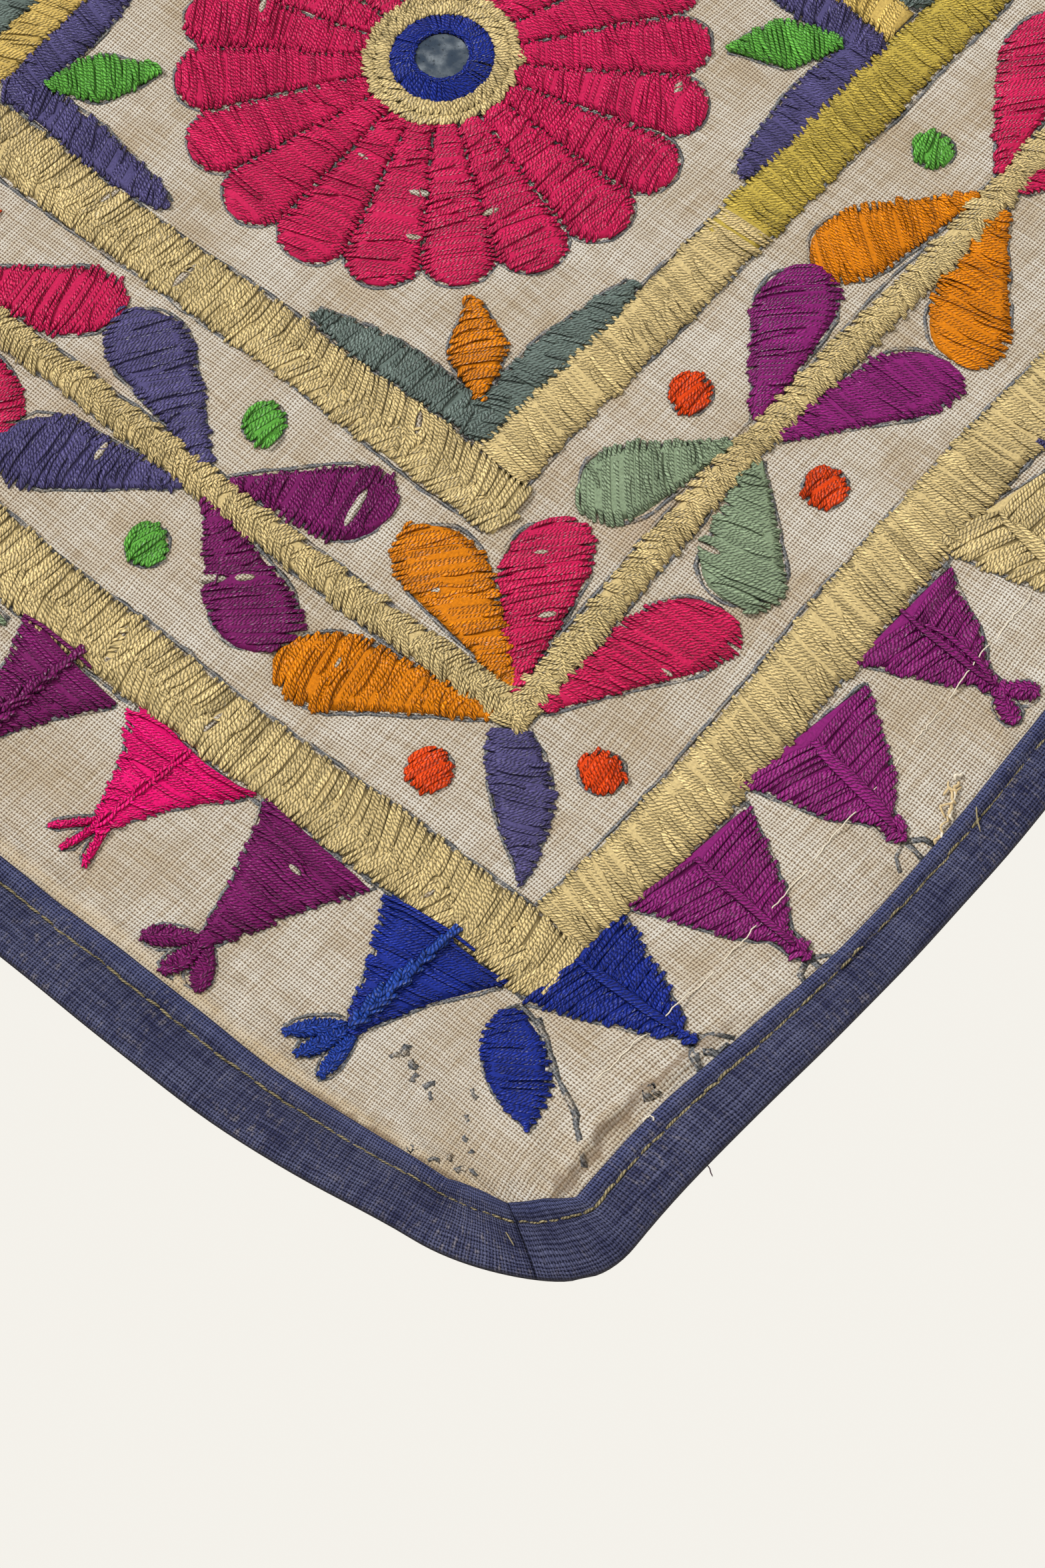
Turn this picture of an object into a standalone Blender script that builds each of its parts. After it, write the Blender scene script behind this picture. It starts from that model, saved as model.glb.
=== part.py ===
"""An embroidered wall hanging, the cloth of a folk embroiderer, with its binding and its mirrors.

Metres, +Z up. The cloth hangs in the XZ plane and its worked face looks towards -Y. The origin is
the middle of its top edge, where it is held. Every place on the cloth is first a pair (u, v): u is
the distance from its left edge and v the distance up from its foot, both on the flat cloth.
to_space then hangs that place: it adds the maker's unsteady hand and the cloth's soft waves.
"""
import math
from collections import namedtuple

import bmesh
import bpy
from mathutils import Matrix, Vector
from mathutils.geometry import delaunay_2d_cdt

# The flower fields in the middle of the cloth
FIELDS = 3
FIELD_WIDE = 0.154
FIELD_TALL = 0.162
DIVIDER = 0.013
DIVIDER_EASE = 0.0005

# Distances in from the outer edge, where each part of the border lies
Border = namedtuple("Border", "binding apex base band stem inner field")
SIDE = Border(binding=0.0175, apex=0.0340, base=0.0630, band=0.0735, stem=0.1170, inner=0.1565, field=0.1665)
FOOT = Border(binding=0.0130, apex=0.0190, base=0.0505, band=0.0610, stem=0.1050, inner=0.1470, field=0.1550)

WIDTH = 2 * SIDE.field + FIELDS * FIELD_WIDE + (FIELDS - 1) * DIVIDER
HEIGHT = 2 * FOOT.field + FIELDS * FIELD_TALL + (FIELDS - 1) * DIVIDER

# Thicknesses, and the gap that pieces keep to each other
CLOTH = 0.0012
TAPE = 0.0010
GAP = 0.0004
MITRE_GAP = 0.0005
PANEL_INSET = TAPE + 0.0010

# The rounded corners of the cloth, and how finely its edge is cut up
CORNER = 0.036
ARC_STEPS = 3
EDGE_STEPS = 20
BAND_STEPS = 12
FIELD_STEPS = 3
BACK_STEP = 0.055

# How high the stitches stand above the ground cloth
BAND_RISE = 0.0009
STEM_RISE = 0.0012
LEAF_RISE = 0.0011
PENNANT_RISE = 0.0009
PETAL_RISE = 0.0013
VALLEY_RISE = 0.0005
RING_RISE = 0.0017
BRACKET_RISE = 0.0008

# Half widths of the long bands, at the cloth and on top
BAND_HALF = 0.0085
INNER_HALF = 0.0078
STEM_HALF = 0.0036
SLOPE = 0.0012

# The border's repeats. Leaves spring from the stem's nodes, whose places are shares of the stem's length.
PENNANTS = 19
PENNANT_MARGIN = 0.04
SIDE_PENNANTS_START = 0.0615
PENNANT_WAIST = 0.42
PENNANT_RIDGE = (0.12, 0.70)
STEM_NODES = (0.0, 0.154, 0.314, 0.5, 0.686, 0.846, 1.0)
LEAF_ROOT = 0.0045
LEAF_SPREAD = 0.0225
LEAF_HALF = 0.0096
LEAF_BLUNT = 0.12
LEAF_WIDEST = 0.72
LEAF_REACH = 0.49
CORNER_LEAF_REACH = 0.545
NEXT_LEAF_REACH = 0.42
DOT_SPREAD = 0.0205
DOT_RADIUS = 0.0055
DOT_SIDES = 6
CORNER_LEAF_HALF = 0.0076
CORNER_LEAF_BLUNT = 0.22
INNER_CORNER_LEAF = (0.004, 0.031)
OUTER_CORNER_LEAF = (0.0015, 0.0215)

# The flower, from its middle outwards
PETALS = 20
MIRROR_RADIUS = 0.0070
MIRROR_THICK = 0.0010
MIRROR_EASE = 0.0002
RECESS_RADIUS = 0.0075
RECESS_SLOPE = 0.0008
BLUE_RING = 0.0140
CREAM_RING = 0.0197
PETAL_START = 0.0060
VALLEY_START = 0.0120
PETAL_END = 0.0060
VALLEY_RADIUS = 0.0600
FLOWER_RADIUS = 0.0680
RING_SEGMENTS = 20

# The motifs in each field's corners
BRACKET_ARM = 0.056
BRACKET_HALF = 0.0046
BRACKET_INSET = 0.0012
BUD_NEAR = 0.0115
BUD_FAR = 0.0285
BUD_HALF = 0.0070

# The maker's unsteady hand, in the cloth's plane, and the waves of the hanging cloth off that plane
Wander = namedtuple("Wander", "reach u_length v_length phase")
WANDER_U = (Wander(0.0012, 0.90, 0.33, 0.6), Wander(0.0006, 0.21, 0.17, 2.0))
WANDER_V = (Wander(0.0012, 0.29, 0.80, 1.9), Wander(0.0006, 0.16, 0.23, 4.1))
Wave = namedtuple("Wave", "rise u_length v_length phase")
WAVES = (Wave(0.0030, 0.55, 2.40, 0.4), Wave(0.0016, 0.31, -0.90, 2.2), Wave(0.0010, 0.26, 0.33, 5.0))

# How the cloth's plane is pulled in near a corner by its tightly sewn binding, first along its foot and
# then along its side. A pull is centred at u, v and fades over its two reaches.
Pull = namedtuple("Pull", "u v du dv u_reach v_reach")
PULLS = (
    Pull(u=0.045, v=0.032, du=0.0, dv=0.0095, u_reach=0.036, v_reach=0.026),
    Pull(u=0.0, v=0.020, du=0.0095, dv=0.0, u_reach=0.018, v_reach=0.035),
)
# The corners' shares of those pulls. The photograph shows the lower left one.
Corner = namedtuple("Corner", "right top share")
CORNERS = (
    Corner(False, False, 1.0),
    Corner(True, False, 0.7),
    Corner(False, True, 0.6),
    Corner(True, True, 0.8),
)

Finish = namedtuple("Finish", "color roughness metallic")
GROUND = Finish((0.60, 0.51, 0.37), 0.95, 0.0)
BINDING = Finish((0.048, 0.058, 0.14), 0.90, 0.0)
MIRROR = Finish((0.22, 0.28, 0.36), 0.08, 1.0)


def waves_at(waves, u, v):
    """The sum of slow sine waves that run across and up the cloth."""
    total = 0.0
    for reach, u_length, v_length, phase in waves:
        total += reach * math.sin(math.tau * (u / u_length + v / v_length) + phase)
    return total


def pulled(u, v):
    """Where a place of the flat cloth lies once its corners are pulled in."""
    moved_u, moved_v = u, v
    for corner in CORNERS:
        from_side = WIDTH - u if corner.right else u
        from_foot = HEIGHT - v if corner.top else v
        for pull in PULLS:
            away = ((from_side - pull.u) / pull.u_reach) ** 2 + ((from_foot - pull.v) / pull.v_reach) ** 2
            share = corner.share * math.exp(-away / 2)
            moved_u += -pull.du * share if corner.right else pull.du * share
            moved_v += -pull.dv * share if corner.top else pull.dv * share
    return moved_u, moved_v


def to_space(u, v, height=0.0):
    """Hangs a place on the cloth, height in front of its middle surface. Its top edge is held flat."""
    held = 1.0 - (v / HEIGHT) ** 3
    across, up = pulled(u, v)
    x = across - WIDTH / 2 + waves_at(WANDER_U, u, v) - waves_at(WANDER_U, WIDTH / 2, HEIGHT)
    z = up - HEIGHT + waves_at(WANDER_V, u, v) - waves_at(WANDER_V, WIDTH / 2, HEIGHT)
    y = held * waves_at(WAVES, u, v) - height
    return Vector((x, y, z))


def along_foot(along, inset):
    return along, inset


def along_top(along, inset):
    return along, HEIGHT - inset


def along_left(along, inset):
    return inset, along


def along_right(along, inset):
    return WIDTH - inset, along


# Each edge of the border: how it is placed, its own sizes, those of the edges beside it, its length,
# and where its row of pennants starts and ends
Edge = namedtuple("Edge", "place own beside length pennants")
EDGES = (
    Edge(along_foot, FOOT, SIDE, WIDTH, SIDE.base),
    Edge(along_top, FOOT, SIDE, WIDTH, SIDE.base),
    Edge(along_left, SIDE, FOOT, HEIGHT, SIDE_PENNANTS_START),
    Edge(along_right, SIDE, FOOT, HEIGHT, SIDE_PENNANTS_START),
)


class Relief:
    """The points of the cloth's face with their heights, and the lines that stay edges of it."""

    def __init__(self):
        self.points = []
        self.heights = []
        self.lines = []

    def line(self, places, height):
        """Adds places joined in order, and gives their indices."""
        first = len(self.points)
        self.points.extend(places)
        self.heights.extend([height] * len(places))
        indices = list(range(first, len(self.points)))
        self.lines.extend(zip(indices, indices[1:]))
        return indices

    def loop(self, places, height):
        indices = self.line(places, height)
        self.lines.append((indices[-1], indices[0]))
        return indices


def mix(a, b, share):
    return a + (b - a) * share


def between(start, end, share):
    return mix(start[0], end[0], share), mix(start[1], end[1], share)


def frame_loop(side_inset, foot_inset):
    """A rectangle round the cloth, set in from its edges, with even steps along each of its sides."""
    corners = (
        (side_inset, foot_inset),
        (WIDTH - side_inset, foot_inset),
        (WIDTH - side_inset, HEIGHT - foot_inset),
        (side_inset, HEIGHT - foot_inset),
    )
    places = []
    for start, end in zip(corners, corners[1:] + corners[:1]):
        places.extend(between(start, end, step / BAND_STEPS) for step in range(BAND_STEPS))
    return places


def frame_band(relief, side_middle, foot_middle, half, rise):
    """A stitched band all round the cloth: flat on top, with sloping flanks."""
    for offset, height in ((-half, 0.0), (SLOPE - half, rise), (half - SLOPE, rise), (half, 0.0)):
        relief.loop(frame_loop(side_middle + offset, foot_middle + offset), height)


def round_leaf(share):
    """The half width, from 0 to 1, of a leaf that widens steadily from its root and ends round."""
    if share < LEAF_WIDEST:
        return mix(LEAF_BLUNT, 1.0, share / LEAF_WIDEST)
    return math.sqrt(1.0 - ((share - LEAF_WIDEST) / (1.0 - LEAF_WIDEST)) ** 2)


def pointed_leaf(share):
    return math.sin(math.pi * share)


def corner_leaf(share):
    """The half width of a leaf that starts blunt and ends in a point."""
    return math.sin(math.pi * mix(CORNER_LEAF_BLUNT, 1.0, share))


LeafCut = namedtuple("LeafCut", "outline ridge")
ROUND_CUT = LeafCut(outline=(0.35, 0.72, 0.94), ridge=(0.38, 0.78))
POINTED_CUT = LeafCut(outline=(0.28, 0.72), ridge=(0.35, 0.65))


def leaf(relief, root, far, half, width_of, cut):
    """A raised leaf from its root to its far end, with a ridge along its middle."""
    axis = Vector(far) - Vector(root)
    across = Vector((-axis.y, axis.x)).normalized()
    middle = {share: Vector(root) + axis * share for share in cut.outline + cut.ridge}
    reach = {share: across * half * width_of(share) for share in cut.outline}
    one_side = [tuple(middle[share] - reach[share]) for share in cut.outline]
    other_side = [tuple(middle[share] + reach[share]) for share in reversed(cut.outline)]
    relief.loop([root, *one_side, far, *other_side], 0.0)
    relief.line([tuple(middle[share]) for share in cut.ridge], LEAF_RISE)


def pennants(relief, edge):
    """The row of pointed pennants that hang from the outer band towards the edge."""
    start = edge.pennants
    pitch = (edge.length - 2 * start) / PENNANTS
    base, apex = edge.own.base, edge.own.apex
    waist = (base + apex) / 2
    for number in range(PENNANTS):
        left = start + pitch * (number + PENNANT_MARGIN)
        right = start + pitch * (number + 1 - PENNANT_MARGIN)
        middle = (left + right) / 2
        outline = (
            (left, base), (middle, base), (right, base),
            (mix(middle, right, PENNANT_WAIST), waist), (middle, apex),
            (mix(middle, left, PENNANT_WAIST), waist),
        )
        relief.loop([edge.place(*place) for place in outline], 0.0)
        ridge = [edge.place(middle, mix(base, apex, share)) for share in PENNANT_RIDGE]
        relief.line(ridge, PENNANT_RISE)


def stem_places(edge):
    """Where the leaves spring from along one edge's stem, from corner to corner."""
    start = edge.beside.stem
    run = edge.length - 2 * start
    return [start + run * share for share in STEM_NODES]


def leaf_reaches(number):
    """How far the two leaves between a node and the next reach towards each other. Those that spring
    from a corner are long."""
    if number == 0:
        return CORNER_LEAF_REACH, NEXT_LEAF_REACH
    if number == len(STEM_NODES) - 2:
        return NEXT_LEAF_REACH, CORNER_LEAF_REACH
    return LEAF_REACH, LEAF_REACH


def stem_leaves(relief, edge):
    """Pairs of leaves that spring both ways from each node of the stem, one on either side of it."""
    nodes = stem_places(edge)
    for number, (start, end) in enumerate(zip(nodes, nodes[1:])):
        onward, backward = leaf_reaches(number)
        for side in (-1, 1):
            root_inset = edge.own.stem + side * LEAF_ROOT
            far_inset = edge.own.stem + side * LEAF_SPREAD
            for node, way, share in ((start, 1, onward), (end, -1, backward)):
                root = edge.place(node + way * LEAF_ROOT, root_inset)
                far = edge.place(node + way * (end - start) * share, far_inset)
                leaf(relief, root, far, LEAF_HALF, round_leaf, ROUND_CUT)


def ring(middle, radius, count):
    """Places evenly round a circle."""
    angles = [math.tau * step / count for step in range(count)]
    return [(middle[0] + radius * math.cos(angle), middle[1] + radius * math.sin(angle)) for angle in angles]


def dots(relief, edge):
    """A round dot on either side of each node between the corners."""
    for node in stem_places(edge)[1:-1]:
        for side in (-1, 1):
            middle = edge.place(node, edge.own.stem + side * DOT_SPREAD)
            relief.loop(ring(middle, DOT_RADIUS, DOT_SIDES), 0.0)
            relief.line([middle], LEAF_RISE)


def corner_leaves(relief):
    """The two leaves on each corner's diagonal: one between the stems' corner and the outer band, and
    one from the outer band's corner towards the binding."""
    outer_corner = (SIDE.band - BAND_HALF - SLOPE, FOOT.band - BAND_HALF - SLOPE)
    for corner, steps in (((SIDE.stem, FOOT.stem), INNER_CORNER_LEAF), (outer_corner, OUTER_CORNER_LEAF)):
        for flip_u in (False, True):
            for flip_v in (False, True):
                ends = []
                for step in steps:
                    u, v = corner[0] - step, corner[1] - step
                    ends.append((WIDTH - u if flip_u else u, HEIGHT - v if flip_v else v))
                leaf(relief, *ends, CORNER_LEAF_HALF, corner_leaf, POINTED_CUT)


def field_corner(column, row):
    """The lower left corner of one flower field."""
    u = SIDE.field + column * (FIELD_WIDE + DIVIDER)
    v = FOOT.field + row * (FIELD_TALL + DIVIDER)
    return u, v


def flower_places():
    """The middles of the flowers, row by row from the foot."""
    places = []
    for row in range(FIELDS):
        for column in range(FIELDS):
            u, v = field_corner(column, row)
            places.append((u + FIELD_WIDE / 2, v + FIELD_TALL / 2))
    return places


def flower(relief, middle):
    """A round flower: a recess for its mirror, two stitched rings, and fluted petals with round tips."""
    rings = (
        (RECESS_RADIUS, 0.0),
        (RECESS_RADIUS + RECESS_SLOPE, RING_RISE),
        (BLUE_RING, PETAL_RISE),
        ((BLUE_RING + CREAM_RING) / 2, RING_RISE),
        (CREAM_RING, VALLEY_RISE),
    )
    for radius, height in rings:
        relief.loop(ring(middle, radius, RING_SEGMENTS), height)

    directions = [Vector(place) for place in ring((0, 0), 1.0, 2 * PETALS)]
    valley_span = (CREAM_RING + VALLEY_START, VALLEY_RADIUS - PETAL_END)
    ridge_span = (CREAM_RING + PETAL_START, FLOWER_RADIUS - PETAL_END)
    outline = []
    for number, direction in enumerate(directions):
        in_valley = number % 2 == 0
        span = valley_span if in_valley else ridge_span
        rise = VALLEY_RISE if in_valley else PETAL_RISE
        relief.line([tuple(Vector(middle) + direction * radius) for radius in span], rise)
        tip = VALLEY_RADIUS if in_valley else FLOWER_RADIUS
        outline.append(tuple(Vector(middle) + direction * tip))
    relief.loop(outline, 0.0)


def field_motifs(relief, column, row):
    """An angled bracket in each corner of a field, and a bud on the diagonal inside it."""
    u, v = field_corner(column, row)
    for flip_u in (False, True):
        for flip_v in (False, True):
            corner = (u + FIELD_WIDE if flip_u else u, v + FIELD_TALL if flip_v else v)
            way_u = -1 if flip_u else 1
            way_v = -1 if flip_v else 1

            def at(across, up, corner=corner, way_u=way_u, way_v=way_v):
                return corner[0] + way_u * across, corner[1] + way_v * up

            low = BRACKET_INSET
            high = BRACKET_INSET + 2 * BRACKET_HALF
            middle = BRACKET_INSET + BRACKET_HALF
            arm = BRACKET_ARM
            relief.loop([
                at(low, low), at(arm, low), at(arm - high, high),
                at(high, high), at(high, arm - high), at(low, arm),
            ], 0.0)
            relief.line([at(arm - high, middle), at(middle, middle), at(middle, arm - high)], BRACKET_RISE)
            leaf(relief, at(BUD_NEAR, BUD_NEAR), at(BUD_FAR, BUD_FAR), BUD_HALF, pointed_leaf, POINTED_CUT)


def strip(relief, start, end, half, steps):
    """A straight raised strip between two places."""
    axis = Vector(end) - Vector(start)
    across = Vector((-axis.y, axis.x)).normalized()
    for offset, height, trim in ((half, 0.0, 0.0), (half - SLOPE, BAND_RISE, SLOPE)):
        loop = []
        for side, order in ((-1, range(steps + 1)), (1, range(steps, -1, -1))):
            for step in order:
                share = mix(trim / axis.length, 1 - trim / axis.length, step / steps)
                loop.append(tuple(Vector(start) + axis * share + across * side * offset))
        relief.loop(loop, height)


def dividers(relief):
    """The strips between the fields: whole ones upwards, and short ones across between those."""
    half = DIVIDER / 2 - DIVIDER_EASE
    for number in range(1, FIELDS):
        u = SIDE.field + number * (FIELD_WIDE + DIVIDER) - DIVIDER / 2
        strip(relief, (u, FOOT.field), (u, HEIGHT - FOOT.field), half, 3 * FIELD_STEPS)
        v = FOOT.field + number * (FIELD_TALL + DIVIDER) - DIVIDER / 2
        for column in range(FIELDS):
            left, _ = field_corner(column, 0)
            right = left + FIELD_WIDE
            strip(relief, (left + DIVIDER_EASE, v), (right - DIVIDER_EASE, v), half, FIELD_STEPS)


Station = namedtuple("Station", "u v out_u out_v reach")


def edge_stations(number, trim=0.0):
    """Steps along one outer edge of the cloth, counted from the foot round against the clock, from the
    middle of one rounded corner to the middle of the next. trim takes a little off both ends."""
    corners = (
        (CORNER, CORNER), (WIDTH - CORNER, CORNER),
        (WIDTH - CORNER, HEIGHT - CORNER), (CORNER, HEIGHT - CORNER),
    )
    own = (FOOT if number % 2 == 0 else SIDE).binding
    mitre = (FOOT.binding + SIDE.binding) / 2
    first, last = corners[number], corners[(number + 1) % 4]
    turn = math.tau * number / 4
    eighth = math.tau / 8
    stations = []

    def arc(middle, angle):
        out_u, out_v = math.cos(angle), math.sin(angle)
        share = abs(angle - turn - 6 * eighth) / eighth
        reach = mix(own, mitre, share)
        stations.append(Station(middle[0] + CORNER * out_u, middle[1] + CORNER * out_v, out_u, out_v, reach))

    shift = trim / CORNER
    for step in range(ARC_STEPS + 1):
        arc(first, turn + mix(5 * eighth + shift, 6 * eighth, step / ARC_STEPS))
    out_u, out_v = stations[-1].out_u, stations[-1].out_v
    start = (stations[-1].u, stations[-1].v)
    end = (last[0] + CORNER * out_u, last[1] + CORNER * out_v)
    for step in range(1, EDGE_STEPS):
        place = between(start, end, step / EDGE_STEPS)
        stations.append(Station(*place, out_u, out_v, own))
    for step in range(ARC_STEPS + 1):
        arc(last, turn + mix(6 * eighth, 7 * eighth - shift, step / ARC_STEPS))
    return stations


def set_in(station, inset):
    return station.u - station.out_u * inset, station.v - station.out_v * inset


def perimeter():
    stations = []
    for number in range(4):
        stations.extend(edge_stations(number)[:-1])
    return stations


def inside(place, outline):
    """Whether a place lies inside a closed outline."""
    within = False
    for (u0, v0), (u1, v1) in zip(outline, outline[1:] + outline[:1]):
        if (v0 > place[1]) != (v1 > place[1]) and place[0] < mix(u0, u1, (place[1] - v0) / (v1 - v0)):
            within = not within
    return within


def triangles(points, lines):
    """Joins the points with triangles that keep the lines as edges. Gives points, faces and sources."""
    vectors = [Vector(point) for point in points]
    found, _, faces, sources, _, _ = delaunay_2d_cdt(vectors, lines, [], 1, 1e-7)
    return found, faces, sources


def front_relief(outline, binding_line):
    relief = Relief()
    relief.loop(outline, 0.0)
    relief.loop(binding_line, 0.0)
    frame_band(relief, SIDE.band, FOOT.band, BAND_HALF, BAND_RISE)
    frame_band(relief, SIDE.inner, FOOT.inner, INNER_HALF, BAND_RISE)
    for offset, height in ((-STEM_HALF, 0.0), (0.0, STEM_RISE), (STEM_HALF, 0.0)):
        relief.loop(frame_loop(SIDE.stem + offset, FOOT.stem + offset), height)
    for edge in EDGES:
        pennants(relief, edge)
        stem_leaves(relief, edge)
        dots(relief, edge)
    corner_leaves(relief)
    for column in range(FIELDS):
        for row in range(FIELDS):
            field_motifs(relief, column, row)
    for middle in flower_places():
        flower(relief, middle)
    dividers(relief)
    return relief


def back_points(outline, binding_line):
    """The outline and the binding's edge, then a coarse grid of places well inside them."""
    points = [*outline, *binding_line]
    margin = BACK_STEP / 2
    columns = round((WIDTH - 2 * margin) / BACK_STEP)
    rows = round((HEIGHT - 2 * margin) / BACK_STEP)
    for column in range(columns + 1):
        for row in range(rows + 1):
            place = (mix(margin, WIDTH - margin, column / columns), mix(margin, HEIGHT - margin, row / rows))
            if inside(place, binding_line):
                points.append(place)
    return points


def ground_cloth():
    """The worked panel: its stitched face, a plain back, and the cut edge between them."""
    stations = perimeter()
    outline = [set_in(station, PANEL_INSET) for station in stations]
    binding_line = [set_in(station, station.reach) for station in stations]
    relief = front_relief(outline, binding_line)
    front, front_faces, sources = triangles(relief.points, relief.lines)
    heights = [relief.heights[source[0]] if source else 0.0 for source in sources]
    verts = [to_space(*place, CLOTH / 2 + height) for place, height in zip(front, heights)]
    rim_front = {source: index for index, found in enumerate(sources) for source in found}

    rim = [(index, (index + 1) % len(outline)) for index in range(len(outline))]
    back, back_faces, back_sources = triangles(back_points(outline, binding_line), rim)
    first = len(verts)
    verts.extend(to_space(*place, -CLOTH / 2) for place in back)
    rim_back = {source: first + index for index, found in enumerate(back_sources) for source in found}

    faces = [tuple(face) for face in front_faces]
    faces.extend(tuple(first + index for index in reversed(face)) for face in back_faces)
    for start, end in rim:
        faces.append((rim_front[end], rim_front[start], rim_back[start], rim_back[end]))
    return new_object("ground_cloth", verts, faces, GROUND)


def binding_profile(reach):
    """The folded tape across the edge: pairs of an outer and an inner point, from its front lip round
    to its back one. Each point says how far in from the edge it lies, and how far forward."""
    inner = CLOTH / 2 + GAP
    outer = inner + TAPE
    fold = 2 * TAPE
    return (
        ((reach, outer), (reach, inner)),
        ((reach * 0.45, outer + 0.0003), (reach * 0.45, inner)),
        ((fold, outer), (fold, inner)),
        ((0.0, TAPE), (TAPE, TAPE / 2)),
        ((0.0, -TAPE), (TAPE, -TAPE / 2)),
        ((fold, -outer), (fold, -inner)),
        ((reach, -outer), (reach, -inner)),
    )


def binding(name, number):
    """One length of tape folded over the cloth's edge, its ends mitred in the corners."""
    verts = []
    stations = edge_stations(number, MITRE_GAP / 2)
    for station in stations:
        profile = binding_profile(station.reach)
        around = [outer for outer, _ in profile] + [inner for _, inner in reversed(profile)]
        verts.extend(to_space(*set_in(station, inset), height) for inset, height in around)
    count = len(around)
    faces = []
    for step in range(len(stations) - 1):
        here, there = step * count, (step + 1) * count
        for index in range(count):
            after = (index + 1) % count
            faces.append((here + index, here + after, there + after, there + index))
    last = len(verts) - count
    for index in range(count // 2 - 1):
        end = (index, index + 1, count - 2 - index, count - 1 - index)
        faces.append(tuple(reversed(end)))
        faces.append(tuple(last + corner for corner in end))
    return new_object(name, verts, faces, BINDING)


def mirror(name, middle):
    """A thin round mirror with an eased rim, lying on the cloth inside its stitched ring."""
    seat = CLOTH / 2 + GAP
    here = to_space(*middle, seat)
    across = to_space(middle[0] + MIRROR_RADIUS, middle[1], seat) - here
    upward = to_space(middle[0], middle[1] + MIRROR_RADIUS, seat) - here
    out = across.cross(upward).normalized()
    across = upward.cross(out).normalized()
    profile = (
        (MIRROR_RADIUS, 0.0),
        (MIRROR_RADIUS, MIRROR_THICK - MIRROR_EASE),
        (MIRROR_RADIUS - MIRROR_EASE, MIRROR_THICK),
    )
    mesh = bmesh.new()
    rings = []
    for radius, height in profile:
        rings.append([mesh.verts.new((*place, height)) for place in ring((0, 0), radius, RING_SEGMENTS)])
    for low, high in zip(rings, rings[1:]):
        for index in range(len(low)):
            after = (index + 1) % len(low)
            mesh.faces.new((low[index], low[after], high[after], high[index]))
    mesh.faces.new(tuple(reversed(rings[0])))
    mesh.faces.new(rings[-1])
    data = bpy.data.meshes.new(name)
    mesh.to_mesh(data)
    mesh.free()
    body = link_object(name, data, MIRROR)
    turn = Matrix((across, out.cross(across), out)).transposed().to_4x4()
    body.matrix_world = Matrix.Translation(here) @ turn
    return body


def material(name, finish):
    surface = bpy.data.materials.new(name)
    surface.use_nodes = True
    shader = surface.node_tree.nodes["Principled BSDF"]
    shader.inputs["Base Color"].default_value = (*finish.color, 1.0)
    shader.inputs["Roughness"].default_value = finish.roughness
    shader.inputs["Metallic"].default_value = finish.metallic
    return surface


def link_object(name, data, finish):
    body = bpy.data.objects.new(name, data)
    bpy.context.scene.collection.objects.link(body)
    data.materials.append(material(name, finish))
    data.shade_smooth()
    data.set_sharp_from_angle(angle=math.radians(5))
    return body


def new_object(name, verts, faces, finish):
    """A closed body from its points and faces, with its faces turned outwards."""
    mesh = bmesh.new()
    points = [mesh.verts.new(vert) for vert in verts]
    for face in faces:
        mesh.faces.new([points[index] for index in face])
    bmesh.ops.triangulate(mesh, faces=mesh.faces[:])
    bmesh.ops.recalc_face_normals(mesh, faces=mesh.faces[:])
    data = bpy.data.meshes.new(name)
    mesh.to_mesh(data)
    mesh.free()
    return link_object(name, data, finish)


def build():
    for old in list(bpy.data.objects):
        bpy.data.objects.remove(old, do_unlink=True)
    ground_cloth()
    for number, name in enumerate(("binding_foot", "binding_right", "binding_top", "binding_left")):
        binding(name, number)
    for number, middle in enumerate(flower_places(), start=1):
        mirror(f"mirror_{number}", middle)


build()
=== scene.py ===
"""The looks of the embroidered wall hanging: every stitch as a strand of floss, on its woven cloth.

Metres, in the frame of the CAD. As in the part's own source, a place is first a pair (u, v) on the flat
cloth, u from its left edge and v from its foot, and hang() then puts it where the cloth hangs.
"""
import math
from collections import namedtuple

import bpy
import numpy as np
from mathutils import Matrix, Vector


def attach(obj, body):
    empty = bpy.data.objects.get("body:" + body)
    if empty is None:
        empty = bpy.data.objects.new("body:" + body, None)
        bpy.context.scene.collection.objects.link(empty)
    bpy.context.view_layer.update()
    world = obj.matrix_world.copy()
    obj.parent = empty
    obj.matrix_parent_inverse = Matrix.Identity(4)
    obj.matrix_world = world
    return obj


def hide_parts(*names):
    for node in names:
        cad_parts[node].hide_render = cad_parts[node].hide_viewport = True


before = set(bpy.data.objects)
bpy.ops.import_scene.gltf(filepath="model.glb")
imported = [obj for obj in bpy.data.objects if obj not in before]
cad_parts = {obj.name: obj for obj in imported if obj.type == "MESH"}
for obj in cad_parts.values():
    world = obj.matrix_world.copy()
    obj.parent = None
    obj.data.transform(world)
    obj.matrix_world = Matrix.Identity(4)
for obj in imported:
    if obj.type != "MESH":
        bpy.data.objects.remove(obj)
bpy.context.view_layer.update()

# The flower fields in the middle of the cloth
FIELDS = 3
FIELD_WIDE = 0.154
FIELD_TALL = 0.162
DIVIDER = 0.013

# Distances in from the outer edge, where each part of the border lies
Border = namedtuple("Border", "binding apex base band stem inner field")
SIDE = Border(binding=0.0175, apex=0.0340, base=0.0630, band=0.0735, stem=0.1170, inner=0.1565, field=0.1665)
FOOT = Border(binding=0.0130, apex=0.0190, base=0.0505, band=0.0610, stem=0.1050, inner=0.1470, field=0.1550)
WIDTH = 2 * SIDE.field + FIELDS * FIELD_WIDE + (FIELDS - 1) * DIVIDER
HEIGHT = 2 * FOOT.field + FIELDS * FIELD_TALL + (FIELDS - 1) * DIVIDER

# Thicknesses, gaps and the rounded corners
CLOTH = 0.0012
TAPE = 0.0010
GAP = 0.0004
MITRE_GAP = 0.00006
MITRE_REACH = 0.0172
PANEL_INSET = TAPE + 0.0010
CORNER = 0.036

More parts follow.
